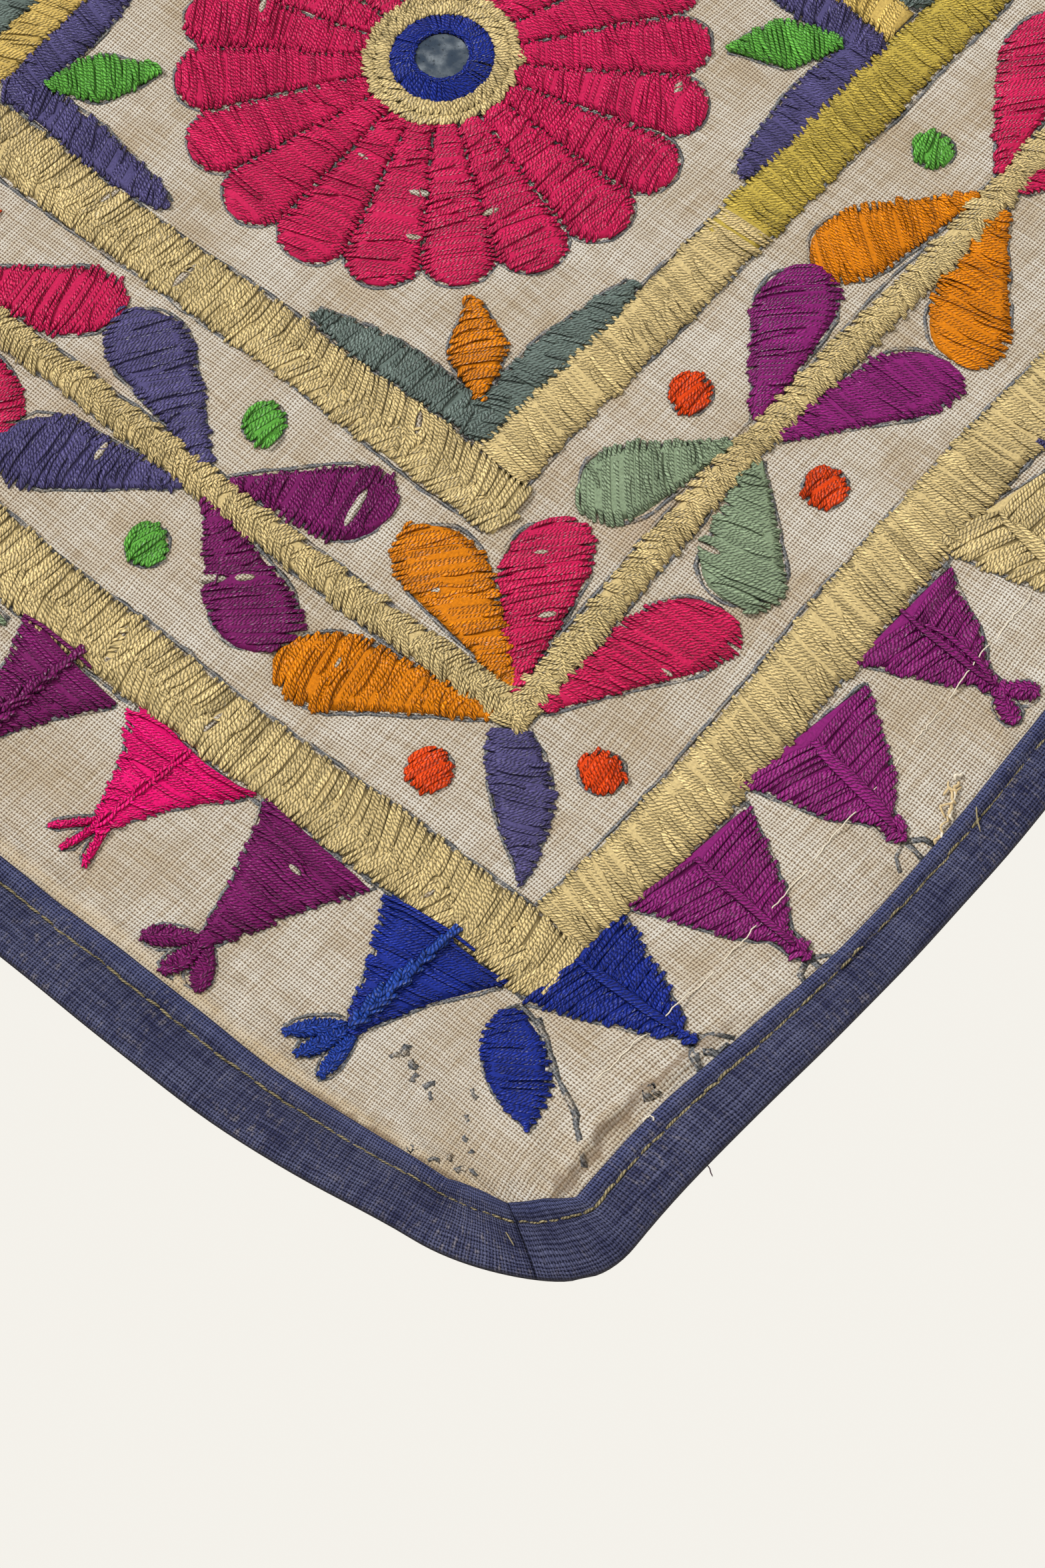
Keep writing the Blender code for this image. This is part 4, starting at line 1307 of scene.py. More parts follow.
def petal_ring(work, middle):
    """Round-tipped petals, their strands laid across and bowed outwards, with a valley between each two."""
    step = math.tau / PETALS
    inner = CREAM_RING - 0.0004
    for number in range(PETALS):
        angle = step * (number + 0.5) + rng.normal(0, 0.005)
        way = heading(angle)
        outer = FLOWER_RADIUS * rng.uniform(0.99, 1.01)

        def half(share, outer=outer):
            radius = mix(inner, outer, share)
            wedge = np.minimum(radius, outer - PETAL_TIP * 0.8) * math.tan(step / 2) * 0.985
            cap = np.sqrt(np.clip(1 - (np.maximum(radius - (outer - PETAL_TIP), 0) / PETAL_TIP) ** 2, 0.0, 1))
            return wedge * np.maximum(cap, 0.22)

        spine = np.array((middle + way * inner, middle + way * outer))
        start, end = across_spine(spine, half, half, PITCH * 0.98, 0.03, wobble=0.0002)
        radius = np.linalg.norm((start + end) / 2 - middle, axis=1)
        reach = np.linalg.norm(end - start, axis=1)
        bow = PETAL_BOW * reach * (radius / outer) ** 2
        work.add(start, end, CRIMSON, bow=bow, rise=PETAL_LIFT)
        crossed(work, start, end, CRIMSON, 0.30, -0.0003, PETAL_LIFT)
        bed(spine, half, half, CRIMSON, inset=0.0003)
        tip = 1 - PETAL_TIP / (outer - inner)
        rounded_tip = (mix(spine[0], spine[1], tip), spine[1] + way * 0.0003)
        draw(outline_of(rounded_tip, lambda share: half(mix(tip, 1, share)) + 0.0002), 0.0009)
        valley = heading(angle + step / 2)
        draw((middle + valley * inner, middle + valley * (outer - PETAL_TIP)), 0.0010)


def mirror_ring(work, middle):
    """The ring that holds a mirror: a raised edge over its rim, a blue ring, and a plaited cream ring."""
    edge = ring(middle, MIRROR_RADIUS + 0.0001, RIM_STITCHES)
    over = np.roll(ring(middle, MIRROR_RADIUS + 0.0008, RIM_STITCHES), -2, axis=0)
    floors = (MIRROR_TOP, MIRROR_TOP - 0.0001)
    work.add(edge, over, ROYAL, bow=-0.0002, rise=0.0003, floors=floors, pair=False)
    inside = ring(middle, MIRROR_RADIUS - 0.0001, BLUE_STITCHES)
    outside = ring(middle, BLUE_RING + 0.0002, BLUE_STITCHES, 0.05)
    work.add(inside, outside, ROYAL, rise=0.0003, floors=(MIRROR_TOP, 0.0))
    inside = ring(middle, BLUE_RING - 0.0006, CREAM_STITCHES)
    outside = ring(middle, CREAM_RING + 0.0006, CREAM_STITCHES)
    outside = outside + rng.normal(0, 0.0003, outside.shape)
    halfway = ring(middle, mix(BLUE_RING, CREAM_RING, 0.62), CREAM_STITCHES)
    crossing = (
        (outside, np.roll(halfway, -2, axis=0), 0.0003, 0.0006, 0.0005),
        (inside, np.roll(halfway, 3, axis=0), -0.0003, 0.0007, 0.0003),
    )
    for start, end, bow, rise, tilt in crossing:
        work.add(start, end, CREAM, bow=bow, rise=rise, tilt=tilt, floors=(0.0, 0.0004))
    draw(ring(middle, CREAM_RING + 0.0004, 48), closed=True)


def field_corner(column, row):
    """The lower left corner of one flower field."""
    return SIDE.field + column * (FIELD_WIDE + DIVIDER), FOOT.field + row * (FIELD_TALL + DIVIDER)


def field_motifs():
    """An angled bracket in each corner of every field, and a bud on the diagonal inside it."""
    work = Work("brackets")
    buds = Work("buds")
    bud = tapered(*BUD_SHAPE, BUD_HALF)
    for column in range(FIELDS):
        for row in range(FIELDS):
            for flips in FLIPS:
                corner = field_corner(column, row) + mirrored(0.0, 0.0, flips, FIELD_WIDE, FIELD_TALL)
                way = mirrored(1, 1, flips, 0, 0)
                same = flips[0] == flips[1]
                bracket(work, corner, way, TEAL_GREY if same else SLATE)
                near, far = corner + way * BUD_NEAR, corner + way * BUD_FAR
                one_leaf(buds, near, far, bud, ORANGE if same else GREEN, lean=0.05, rise=0.0008)
    work.build(THREAD)
    buds.build(THREAD)


def bracket(work, corner, way, color):
    """Two arms from a field's corner along its sides, their inner edges waved and their ends rounded."""
    for along in (np.array((1, 0)), np.array((0, 1))):
        aside = 1 - along
        flip = way[0] * way[1] * (1 if along[0] else -1)
        root = corner + way * (along * 0.0002 + aside * BRACKET_LINE)
        far = corner + way * (along * BRACKET_ARM + aside * (BRACKET_LINE - 0.0015))
        waved = tapered((0, 0.15, 0.5, 0.85, 1), (1, 0.95, 1.25, 0.7, 0.25), BRACKET_HALF)
        straight = tapered((0, 0.8, 1), (1, 1, 0.45), BRACKET_HALF)
        halves = (waved, straight) if flip > 0 else (straight, waved)
        start, end = across_spine((root, far), *halves, pitch=PITCH, lean=rng.uniform(0.15, 0.4) * flip)
        work.add(start, end, color, bow=0.0004 * flip, rise=0.0004)
        crossed(work, start, end, color, 0.35, 0.0002, 0.0004)
        bed((root, far), *halves, color)
        shares = np.linspace(0, 1, 18)
        middle, across, _ = along_line((root, far), shares)
        for side, half in zip((1, -1), halves):
            draw(middle + side * across * (half(shares) + 0.0001)[:, None])


def thread(cords, places, heights, color, width=0.00036):
    """A round loose thread along places, at heights over the cloth's face."""
    shares = np.linspace(0, 1, len(places) * 3)
    middle, across, _ = along_line(places, shares)
    middle = middle + across * (unsteady(len(shares), 0.00018, 3) * np.sin(math.pi * shares))[:, None]
    rise = np.interp(shares, np.linspace(0, 1, len(heights)), heights)
    angles = np.linspace(0, math.tau, 6, endpoint=False)
    taper = width / 2 * np.where((shares == 0) | (shares == 1), 0.4, 1.0)
    offsets = -taper[:, None] * np.cos(angles)
    cords.add(middle, across, offsets, rise[:, None] + taper[:, None] * np.sin(angles), color)


def tacking(cords):
    """White running stitches across the pennants' tips, over the cloth and over the strands they cross."""
    tips = np.array([place.tip for place in pennant_places(EDGES[0])])
    u_line, v_line = zip(*TACKING_LINE)
    start = u_line[0]
    while start < u_line[-1]:
        end = start + rng.uniform(0.010, 0.019)
        u = np.linspace(start, end, 12)
        v = np.interp(u, u_line, v_line) + unsteady(12, 0.0003, 4)
        over = np.exp(-(np.abs(u[:, None] - tips).min(axis=1) / 0.0075) ** 4)
        ends = np.minimum(np.arange(12), np.arange(12)[::-1]) / 1.5
        heights = (0.00025 + 0.0013 * over) * np.minimum(ends, 1.0) - 0.0001
        thread(cords, along_foot(u, v), heights, TACKING, 0.00030)
        start = end + rng.uniform(0.0012, 0.0035)


def curl(cords, middle, radius, turns, color):
    """A small curled end of thread that stands off the work."""
    angles = np.linspace(0, math.tau * turns, 14) + rng.uniform(0, 6)
    reach = radius * np.linspace(0.5, 1.2, 14)
    places = np.asarray(middle) + np.stack((np.cos(angles), 0.7 * np.sin(angles)), axis=-1) * reach[:, None]
    heights = 0.0014 + 0.0006 * np.sin(np.linspace(0, 5, 14))
    heights[0] = 0.0
    thread(cords, places, heights, color, 0.00034)


def tuft(cords):
    """A frayed tuft beside the binding."""
    for number in range(16):
        middle = np.array((0.1560, 0.0150)) + np.array((0.0085, 0.0042)) * rng.uniform(-1, 1)
        middle = middle + rng.normal(0, 0.0006, 2)
        way = turned(np.array((0.90, 0.43)), rng.normal(0, 0.35)) * rng.uniform(0.0012, 0.0028)
        bend = turned(way, math.pi / 2) * rng.normal(0, 0.5)
        places = (middle - way, middle - way * 0.3 + bend, middle + way * 0.4 - bend * 0.4, middle + way)
        color = LINT if number % 3 else TACKING
        thread(cords, places, (0.0002, 0.0009, 0.0007, 0.0002), color, rng.uniform(0.0004, 0.0008))


def loose_threads():
    """Tacking, a frayed tuft, three curls, and the few straight ends that have worked loose."""
    cords = Ribbons("loose_threads")
    tacking(cords)
    curl(cords, (0.1341, 0.0562), 0.0014, 1.4, CREAM)
    curl(cords, (0.0760, 0.0690), 0.0006, 2.2, CREAM)
    curl(cords, (0.0602, 0.0125), 0.0012, 0.8, TACKING)
    tuft(cords)
    for ends in SEWING_ENDS:
        thread(cords, ends, (0.0004, 0.0022, 0.0026), SEWING)
    thread(cords, HAIR, (-0.0010, -0.0008, -0.0006), DARK_HAIR, 0.00026)
    cords.build(LOOSE)


def guide_marks():
    """Faded strokes of the maker's first layout: a few lines and dabs."""
    for width, *places in GUIDE_STROKES:
        draw(places, width)
    for u, v, angle, length, width in GUIDE_DABS:
        way = heading(angle) * length
        aside = turned(way, math.pi / 2) * 0.25
        draw((np.array((u, v)) - way, np.array((u, v)) + aside, np.array((u, v)) + way), width)


def dividers():
    """The gold strips between the fields: whole ones upwards, and short ones across between those."""
    work = Work("dividers")
    half = DIVIDER / 2 - 0.0010
    for number in range(1, FIELDS):
        u = SIDE.field + number * (FIELD_WIDE + DIVIDER) - DIVIDER / 2
        strips = [(np.array((u, FOOT.field)), np.array((u, HEIGHT - FOOT.field)))]
        v = FOOT.field + number * (FIELD_TALL + DIVIDER) - DIVIDER / 2
        for column in range(FIELDS):
            left, _ = field_corner(column, 0)
            strips.append((np.array((left, v)), np.array((left + FIELD_WIDE, v))))
        for start, end in strips:
            satin(work, (start, end), steady(half), GOLD, lean=0.3, bow=0.0005)
            for side in (-1, 1):
                beside = crosswise(start, end) * side * (half + 0.0004)
                draw(np.linspace(start + beside, end + beside, 40))
    work.build(THREAD)


class Nodes:
    """A tree of shader nodes, with short ways to make and join them."""

    def __init__(self, tree):
        self.tree = tree

    def node(self, kind, *inputs, **settings):
        """A node of a kind, with its first inputs and its settings."""
        made = self.tree.nodes.new(kind)
        for key, value in settings.items():
            setattr(made, key, value)
        for slot, value in zip(made.inputs, inputs):
            self.put(slot, value)
        return made

    def put(self, slot, value):
        if isinstance(value, bpy.types.NodeSocket):
            self.tree.links.new(value, slot)
        elif value is not None:
            slot.default_value = value


class Shader(Nodes):
    """A material's nodes, and the sums that its looks are made of."""

    def __init__(self, name):
        self.material = bpy.data.materials.new(name)
        self.material.use_nodes = True
        super().__init__(self.material.node_tree)
        self.surface = self.tree.nodes["Principled BSDF"]

    def math(self, operation, *values):
        return self.node("ShaderNodeMath", *values, operation=operation).outputs[0]

    def times(self, value, *factors):
        for factor in factors:
            value = self.math("MULTIPLY", value, factor)
        return value

    def plus(self, one, other):
        return self.math("ADD", one, other)

    def graded(self, value, slope, base):
        """The value times slope, plus base."""
        return self.math("MULTIPLY_ADD", value, slope, base)

    def ramp(self, value, low, high):
        """From 0 at low to 1 at high, smoothly."""
        return self.node("ShaderNodeMapRange", value, low, high, interpolation_type="SMOOTHSTEP").outputs[0]

    def number(self, name):
        return self.node("ShaderNodeAttribute", attribute_name=name).outputs["Fac"]

    def vector(self, name):
        return self.node("ShaderNodeAttribute", attribute_name=name).outputs["Vector"]

    def place(self):
        return self.node("ShaderNodeTexCoord").outputs["Object"]

    def parts(self, vector):
        return self.node("ShaderNodeSeparateXYZ", vector).outputs

    def noise(self, vector, scale, detail=2.0, sizes=None):
        """Noise from 0 to 1, stretched where sizes are small."""
        if sizes:
            vector = self.node("ShaderNodeVectorMath", vector, sizes, operation="MULTIPLY").outputs[0]
        made = self.node("ShaderNodeTexNoise")
        self.fill(made.inputs, Vector=vector, Scale=scale, Detail=detail)
        return made.outputs["Fac"]

    def blend(self, share, one, other):
        """From one colour to another."""
        made = self.node("ShaderNodeMix", data_type="RGBA", blend_type="MIX")
        for slot, value in ((0, share), (6, one), (7, other)):
            self.put(made.inputs[slot], (*value, 1.0) if isinstance(value, tuple) else value)
        return made.outputs[2]

    def dyed(self, shade):
        """The dye of each point, made darker or lighter."""
        color = self.node("ShaderNodeVectorMath", self.vector("dye"), operation="SCALE")
        self.put(color.inputs["Scale"], shade)
        return color.outputs[0]

    def fill(self, slots, **values):
        """Puts values in slots by name, with _ for a space."""
        for name, value in values.items():
            self.put(slots[name.replace("_", " ")], value)

    def finish(self, color, roughness, height=None, distance=0.0001, strength=1.0, **fixed):
        """The material, with its height as bump of the given distance, and its other values by name."""
        self.fill(self.surface.inputs, Base_Color=color, Roughness=roughness, **fixed)
        if height is not None:
            bump = self.node("ShaderNodeBump")
            self.fill(bump.inputs, Strength=strength, Distance=distance, Height=height)
            self.fill(self.surface.inputs, Normal=bump.outputs[0])
        return self.material


def thread_material():
    """Twisted floss: its plies show as slanting ridges round each strand, with fine fibres along them. Its
    colour holds painted shade at its sides and between its plies, a painted highlight on the ply tops, a
    painted sheen in part along the fibres, and it is darker where it is worn."""
    shader = Shader("floss")
    twist = shader.vector("twist")
    along, around, strand = shader.parts(twist)
    slack = shader.times(shader.noise(twist, 1.0, 1.0, (330.0, 0.0, 9.0)), 2.2)
    turns = shader.plus(shader.math("DIVIDE", along, TWIST), shader.graded(around, PLY_SLANT, slack))
    ply = shader.math("ABSOLUTE", shader.math("SINE", shader.times(turns, math.pi)))
    ply = shader.math("POWER", ply, 0.9)
    combed = [shader.times(part, scale) for part, scale in ((turns, 6.0), (along, 300.0), (strand, 40.0))]
    fibre = shader.noise(shader.node("ShaderNodeCombineXYZ", *combed).outputs[0], 1.0, 1.0)
    aside = shader.graded(around, 2.0, -1.0)
    # The colour: random tone and wear, fibre streaks that are in part a painted sheen, painted shade in the
    # ply grooves with a painted highlight on the ply tops, and painted shade at the strand's sides
    shade = shader.times(
        shader.graded(shader.number("tone"), 0.10, 1.0),
        shader.graded(shader.noise(shader.place(), 60.0, 3.0), 0.6, 0.67),
        shader.graded(fibre, 0.9, 0.55),
        shader.graded(ply, 0.98, 0.34),
        shader.graded(shader.times(aside, aside), -0.68, 1.0),
    )
    height = shader.plus(ply, shader.times(fibre, 0.7))
    return shader.finish(shader.dyed(shade), 0.30, height, 0.00040, Specular_IOR_Level=0.34)


def tangled_material(name, dark, spread):
    """Tangled thread, from dark to dark + spread of its dye: the beds under the strands, whose darker tone is
    in part painted shade between the strands, or loose ends.
    """
    shader = Shader(name)
    tangle = shader.noise(shader.vector("flat"), 1500.0)
    color = shader.dyed(shader.graded(tangle, spread, dark))
    return shader.finish(color, 0.8, tangle, 0.0003, 0.8, Specular_IOR_Level=0.2)


def weave(shader, flat, pitch, slub):
    """A plain weave from flat coordinates: gives the height of its threads, 0 in its gaps, and how pale
    each stretch of thread is."""
    wobble = shader.graded(shader.noise(flat, 230.0), 2.0, -1.0)
    sines, threads = [], []
    for part, sizes in zip(shader.parts(flat), ((1.0, 0.06, 1.0), (0.06, 1.0, 1.0))):
        drift = shader.graded(shader.noise(flat, 700.0, 1.0, sizes), 0.5, wobble)
        turns = shader.plus(shader.math("DIVIDE", part, pitch), shader.times(drift, 0.6))
        sines.append(shader.math("SINE", shader.times(turns, math.pi)))
        threads.append(shader.noise(flat, 1300.0, 1.0, sizes))
    over = shader.times(*sines)
    heights = []
    for sine, sign in zip(sines, (1.0, -1.0)):
        round_top = shader.math("POWER", shader.math("ABSOLUTE", sine), 0.7)
        heights.append(shader.times(round_top, shader.graded(over, 0.38 * sign, 0.62)))
    pale = shader.times(shader.plus(*threads), 0.5)
    uneven = shader.graded(pale, 2 * slub, 1.0 - slub)
    return shader.times(shader.math("MAXIMUM", *heights), uneven), pale


WEAVE_PITCH = 0.00084
TAPE_PITCH = 0.00080
CLOTH_PALE = dye(214, 208, 197)
CLOTH_TAN = dye(184, 167, 141)
# Painted shade in the gaps of the weave
CLOTH_GAP_SHADE = dye(117, 99, 79)
CLOTH_STAIN = dye(168, 134, 92)
CLOTH_ROLLED = dye(194, 168, 124)
# Painted shade along two creases
CLOTH_CREASE_SHADE = dye(118, 96, 76)
INK = dye(112, 116, 122)
# Painted shade in the gaps of the weave under the ink
INK_GAP_SHADE = dye(56, 58, 60)
TAPE_DARK = dye(48, 50, 80)
TAPE_LIGHT = dye(96, 99, 128)
TAPE_FLECK = dye(150, 142, 140)
TAPE_WORN = dye(92, 100, 148)
# Painted shade in the gaps of the tape's weave
TAPE_GAP_SHADE = dye(20, 21, 40)
# Painted shade on the tape's folded rim
TAPE_RIM_SHADE = dye(52, 50, 54)
GLASS_DIM = dye(104, 122, 144)
GLASS_BRIGHT = dye(186, 198, 208)
GLASS_SPECK = dye(58, 62, 70)


def rolled(shader, flat):
    """How far a place is within the strip beside the binding up either side, from 0 to 1."""
    across = shader.parts(flat)[0]
    from_side = shader.math("MINIMUM", across, shader.math("SUBTRACT", WIDTH, across))
    from_side = shader.math("SUBTRACT", from_side, 0.0025)
    from_side = shader.graded(shader.noise(flat, 55.0, 3.0), 0.0050, from_side)
    return shader.ramp(from_side, ROLL_START + ROLL_WIDE, ROLL_START + ROLL_WIDE * 0.4)


def painted_crease_shade(shader, across, along, line, middle, reach):
    """How far a place is in the painted shade along a crease's line, near the middle of its length, from 0 to
    1.
    """
    away = shader.math("ABSOLUTE", shader.math("SUBTRACT", across, line))
    far = shader.math("ABSOLUTE", shader.math("SUBTRACT", along, middle))
    return shader.times(shader.ramp(away, 0.0019, 0.0003), shader.ramp(far, reach, reach * 0.5))


def creased(shader, flat):
    """How far a place is in the painted shade of either of the two creases at the lower left corner."""
    drift = shader.graded(shader.noise(flat, 150.0, 3.0), 0.0070, -0.0035)
    u, v = (shader.plus(part, drift) for part in shader.parts(flat)[:2])
    along_foot_edge = painted_crease_shade(shader, v, u, FOLD_LINE - 0.0010, FOLD_MIDDLE, 0.040)
    up_the_side = painted_crease_shade(shader, u, v, ROLL_START + 0.0008, 0.048, 0.042)
    return shader.math("MAXIMUM", along_foot_edge, up_the_side)


def ground_color(shader, flat):
    """The unbleached cloth with painted shade in the gaps of its weave and along two creases, its warmer
    patches and its stains. Gives height too.
    """
    height, pale = weave(shader, flat, WEAVE_PITCH, 0.36)
    roll = rolled(shader, flat)
    patch = shader.graded(shader.noise(flat, 42.0, 4.0), 1.0, -0.5)
    thread = shader.blend(shader.ramp(shader.plus(pale, patch), 0.15, 0.80), CLOTH_TAN, CLOTH_PALE)
    stain = shader.ramp(shader.noise(flat, 13.0, 4.0), 0.56, 0.76)
    # A real stain, the rolled strip's warmer tan, and painted shade along the creases
    for share, strength, color in (
        (stain, 0.45, CLOTH_STAIN), (roll, 0.40, CLOTH_ROLLED), (creased(shader, flat), 0.62, CLOTH_CREASE_SHADE),
    ):
        thread = shader.blend(shader.times(share, strength), thread, color)
    # Painted shade in the weave's gaps, less in the rolled strip
    opened = shader.ramp(shader.graded(roll, 0.07, height), 0.36, 0.68)
    return shader.blend(opened, CLOTH_GAP_SHADE, thread), height


def crumpled(shader, flat, height):
    """The weave's height together with the small wrinkles of the cloth, for the bump."""
    wrinkle = shader.noise(flat, 105.0, 3.0, (1.0, 0.6, 1.0))
    from_edge = shader.math("MINIMUM", *shader.parts(flat)[:2])
    wrinkle = shader.times(wrinkle, shader.graded(shader.ramp(from_edge, 0.050, 0.022), 3.2, 1.0))
    ridges = shader.noise(flat, 620.0, 2.0, (1.0, 0.10, 1.0))
    ridges = shader.times(rolled(shader, flat), ridges)
    return shader.plus(height, shader.graded(ridges, 1.6, shader.times(wrinkle, 3.0)))


def ground_material():
    """Unbleached plain weave, crumpled beside its binding."""
    shader = Shader("plain_weave_cotton")
    flat = shader.vector("flat")
    color, height = ground_color(shader, flat)
    return shader.finish(color, 0.92, crumpled(shader, flat, height), 0.00024, Specular_IOR_Level=0.15)


def ink_material():
    """Ink soaked into the same weave, faded away in places, and darker in the weave's gaps as painted shade.
    """
    shader = Shader("drawn_ink")
    flat = shader.vector("flat")
    color, height = ground_color(shader, flat)
    broad = shader.ramp(shader.noise(flat, 170.0, 3.0), 0.34, 0.50)
    fine = shader.ramp(shader.noise(flat, 1100.0), 0.25, 0.5)
    # Painted shade in the weave's gaps under the ink
    inked = shader.blend(shader.ramp(height, 0.2, 0.6), INK_GAP_SHADE, INK)
    mixed = shader.blend(shader.graded(shader.times(broad, fine), 0.80, 0.10), color, inked)
    return shader.finish(mixed, 0.92, height, 0.00022, 0.9, Specular_IOR_Level=0.2)


def binding_material():
    """Indigo plain weave with pale flecks where its threads are worn, painted shade in the gaps of its weave,
    and painted shade on its folded rim.
    """
    shader = Shader("indigo_tape")
    flat = shader.vector("flat")
    height, pale = weave(shader, flat, TAPE_PITCH, 0.30)
    patch = shader.graded(shader.noise(flat, 60.0, 3.0), 0.5, -0.25)
    thread = shader.blend(shader.ramp(shader.plus(pale, patch), 0.22, 0.78), TAPE_DARK, TAPE_LIGHT)
    fleck = shader.ramp(shader.noise(flat, 900.0, 3.0, (1.0, 0.45, 1.0)), 0.52, 0.70)
    faded = shader.times(fleck, shader.ramp(shader.noise(flat, 34.0, 3.0), 0.38, 0.66), 0.55)
    thread = shader.blend(faded, thread, TAPE_FLECK)
    # Wear where above 0; below 0, how deep the painted shade on the folded rim is
    worn = shader.number("worn")
    thread = shader.blend(shader.times(shader.ramp(worn, 0.2, 1.0), 0.45), thread, TAPE_WORN)
    # Painted shade in the gaps of the tape's weave
    color = shader.blend(shader.ramp(height, 0.28, 0.80), TAPE_GAP_SHADE, thread)
    # Painted shade on the folded rim, where worn is below 0
    color = shader.blend(shader.ramp(worn, -0.2, -1.0), color, TAPE_RIM_SHADE)
    return shader.finish(color, 0.85, height, 0.00030, Specular_IOR_Level=0.15)


def mirror_material():
    """Old silvered glass: dim, a little cloudy, with specks where the silver has gone."""
    shader = Shader("old_mirror")
    place = shader.place()
    cloud = shader.ramp(shader.noise(place, 170.0, 4.0), 0.36, 0.64)
    specks = shader.times(shader.ramp(shader.noise(place, 1400.0), 0.62, 0.72), 0.6)
    color = shader.blend(specks, shader.blend(cloud, GLASS_DIM, GLASS_BRIGHT), GLASS_SPECK)
    return shader.finish(color, shader.graded(cloud, 0.25, 0.12), cloud, 0.00004, 0.5, Metallic=0.75)


THREAD = thread_material()
# The beds' darker tone is in part painted shade between the strands
BEDDED = tangled_material("bedded_floss", 0.40, 0.90)
LOOSE = tangled_material("loose_cotton", 0.80, 0.50)
GROUND = ground_material()
INKED = ink_material()
TAPED = binding_material()
MIRRORED = mirror_material()


def grid_lines(size):
    """Places of the ground's grid lines: fine over the part that shows, and coarser beyond it."""
    stops = (PANEL_INSET, 0.013, 0.0255, 0.36, size - 0.0255, size - 0.013, size - PANEL_INSET)
    steps = (0.0040, 0.0008, 0.0045, 0.0095, 0.0016, 0.0060)
    lines = [np.array([stops[0]])]
    for start, end, step in zip(stops, stops[1:], steps):
        lines.append(np.linspace(start, end, max(int((end - start) / step), 2) + 1)[1:])
    return np.concatenate(lines)


def rounded(flat):
    """Draws the corners of a square grid in to the round corners of the cloth."""
    flat = flat.copy()
    sizes = np.array((WIDTH, HEIGHT))
    mirrored = flat > sizes / 2
    local = np.where(mirrored, sizes - flat, flat)
    out = (CORNER - local) / (CORNER - PANEL_INSET)
    corner = (out > 0).all(axis=-1)
    a, b = out[corner, 0], out[corner, 1]
    pulled = np.stack((a * np.sqrt(1 - b ** 2 / 2), b * np.sqrt(1 - a ** 2 / 2)), axis=-1)
    local[corner] = CORNER - pulled * (CORNER - PANEL_INSET)
    return np.where(mirrored, sizes - local, local)


def ground_sheet():
    """The worked cloth: front, back and cut edge, under all the stitches."""
    grid = np.stack(np.meshgrid(grid_lines(WIDTH), grid_lines(HEIGHT), indexing="ij"), axis=-1)
    flat = rounded(grid)
    columns, rows = flat.shape[:2]
    front = hang(flat, CLOTH / 2).reshape(-1, 3)
    back = hang(flat, -CLOTH / 2).reshape(-1, 3)
    index = np.arange(columns * rows).reshape(columns, rows)
    cells = np.stack((index[:-1, :-1], index[1:, :-1], index[1:, 1:], index[:-1, 1:]), axis=-1).reshape(-1, 4)
    around = np.concatenate((index[:, 0], index[-1, 1:], index[-2::-1, -1], index[0, -2:0:-1]))
    after = np.roll(around, -1)
    size = columns * rows
    rim = np.stack((around, around + size, after + size, after), axis=-1)
    quads = np.concatenate((cells, cells[:, ::-1] + size, rim))
    flats = np.concatenate((flat.reshape(-1, 2), flat.reshape(-1, 2)))
    bake = flats / np.array((WIDTH * 2, HEIGHT))
    bake[size:, 0] += 0.5
    values = {"flat": np.concatenate((flats, np.zeros((2 * size, 1))), axis=1)}
    points = np.concatenate((front, back))
    piece = add_mesh("ground_sheet", points, quads, np.zeros((0, 3), int), values, bake)
    piece.data.materials.append(GROUND)
    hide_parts("ground_cloth")
    return piece


Station = namedtuple("Station", "place out reach")
# The four corners' flips, against the clock from the foot's left end
CORNER_FLIPS = ((False, False), (True, False), (True, True), (False, True))
ARC_STEPS = 14
# Where the binding's sewn line lies, as a share of its width, and the length of a sewn stitch
SEAM = 0.72
SEWN_STITCH = 0.0040


def edge_stations(number):
    """Steps along one outer edge of the cloth, counted from the foot round against the clock, from the
    middle of one rounded corner to the middle of the next."""
    corners = [mirrored(CORNER, CORNER, flips) for flips in CORNER_FLIPS]
    own = (FOOT if number % 2 == 0 else SIDE).binding
    first, last = corners[number], corners[(number + 1) % 4]
    turn = math.tau * number / 4
    eighth = math.tau / 8
    shift = MITRE_GAP / 2 / CORNER
    start_angles = turn + np.linspace(5 * eighth + shift, 6 * eighth, ARC_STEPS)
    end_angles = turn + np.linspace(6 * eighth, 7 * eighth - shift, ARC_STEPS)
    steps = int(np.linalg.norm(last - first) / 0.0045)
    straight = np.linspace(0, 1, steps + 1)[1:-1]
    angles = np.concatenate((start_angles, np.full(len(straight), turn + 6 * eighth), end_angles))
    out = np.stack((np.cos(angles), np.sin(angles)), axis=-1)
    arcs = (np.tile(first, (ARC_STEPS, 1)), np.tile(last, (ARC_STEPS, 1)))
    middles = np.concatenate((arcs[0], mix(first, last, straight[:, None]), arcs[1]))
    # Straight inner edges from where the corner begins to turn up to the mitre
    bent = np.abs(angles - turn - 6 * eighth)
    edge_in, mitre_in = CORNER - own, CORNER - MITRE_REACH
    level = edge_in * np.sin(bent) + mitre_in * np.sin(eighth - bent)
    reach = CORNER - edge_in * mitre_in * math.sin(eighth) / level
    return Station(middles + CORNER * out, out, reach)


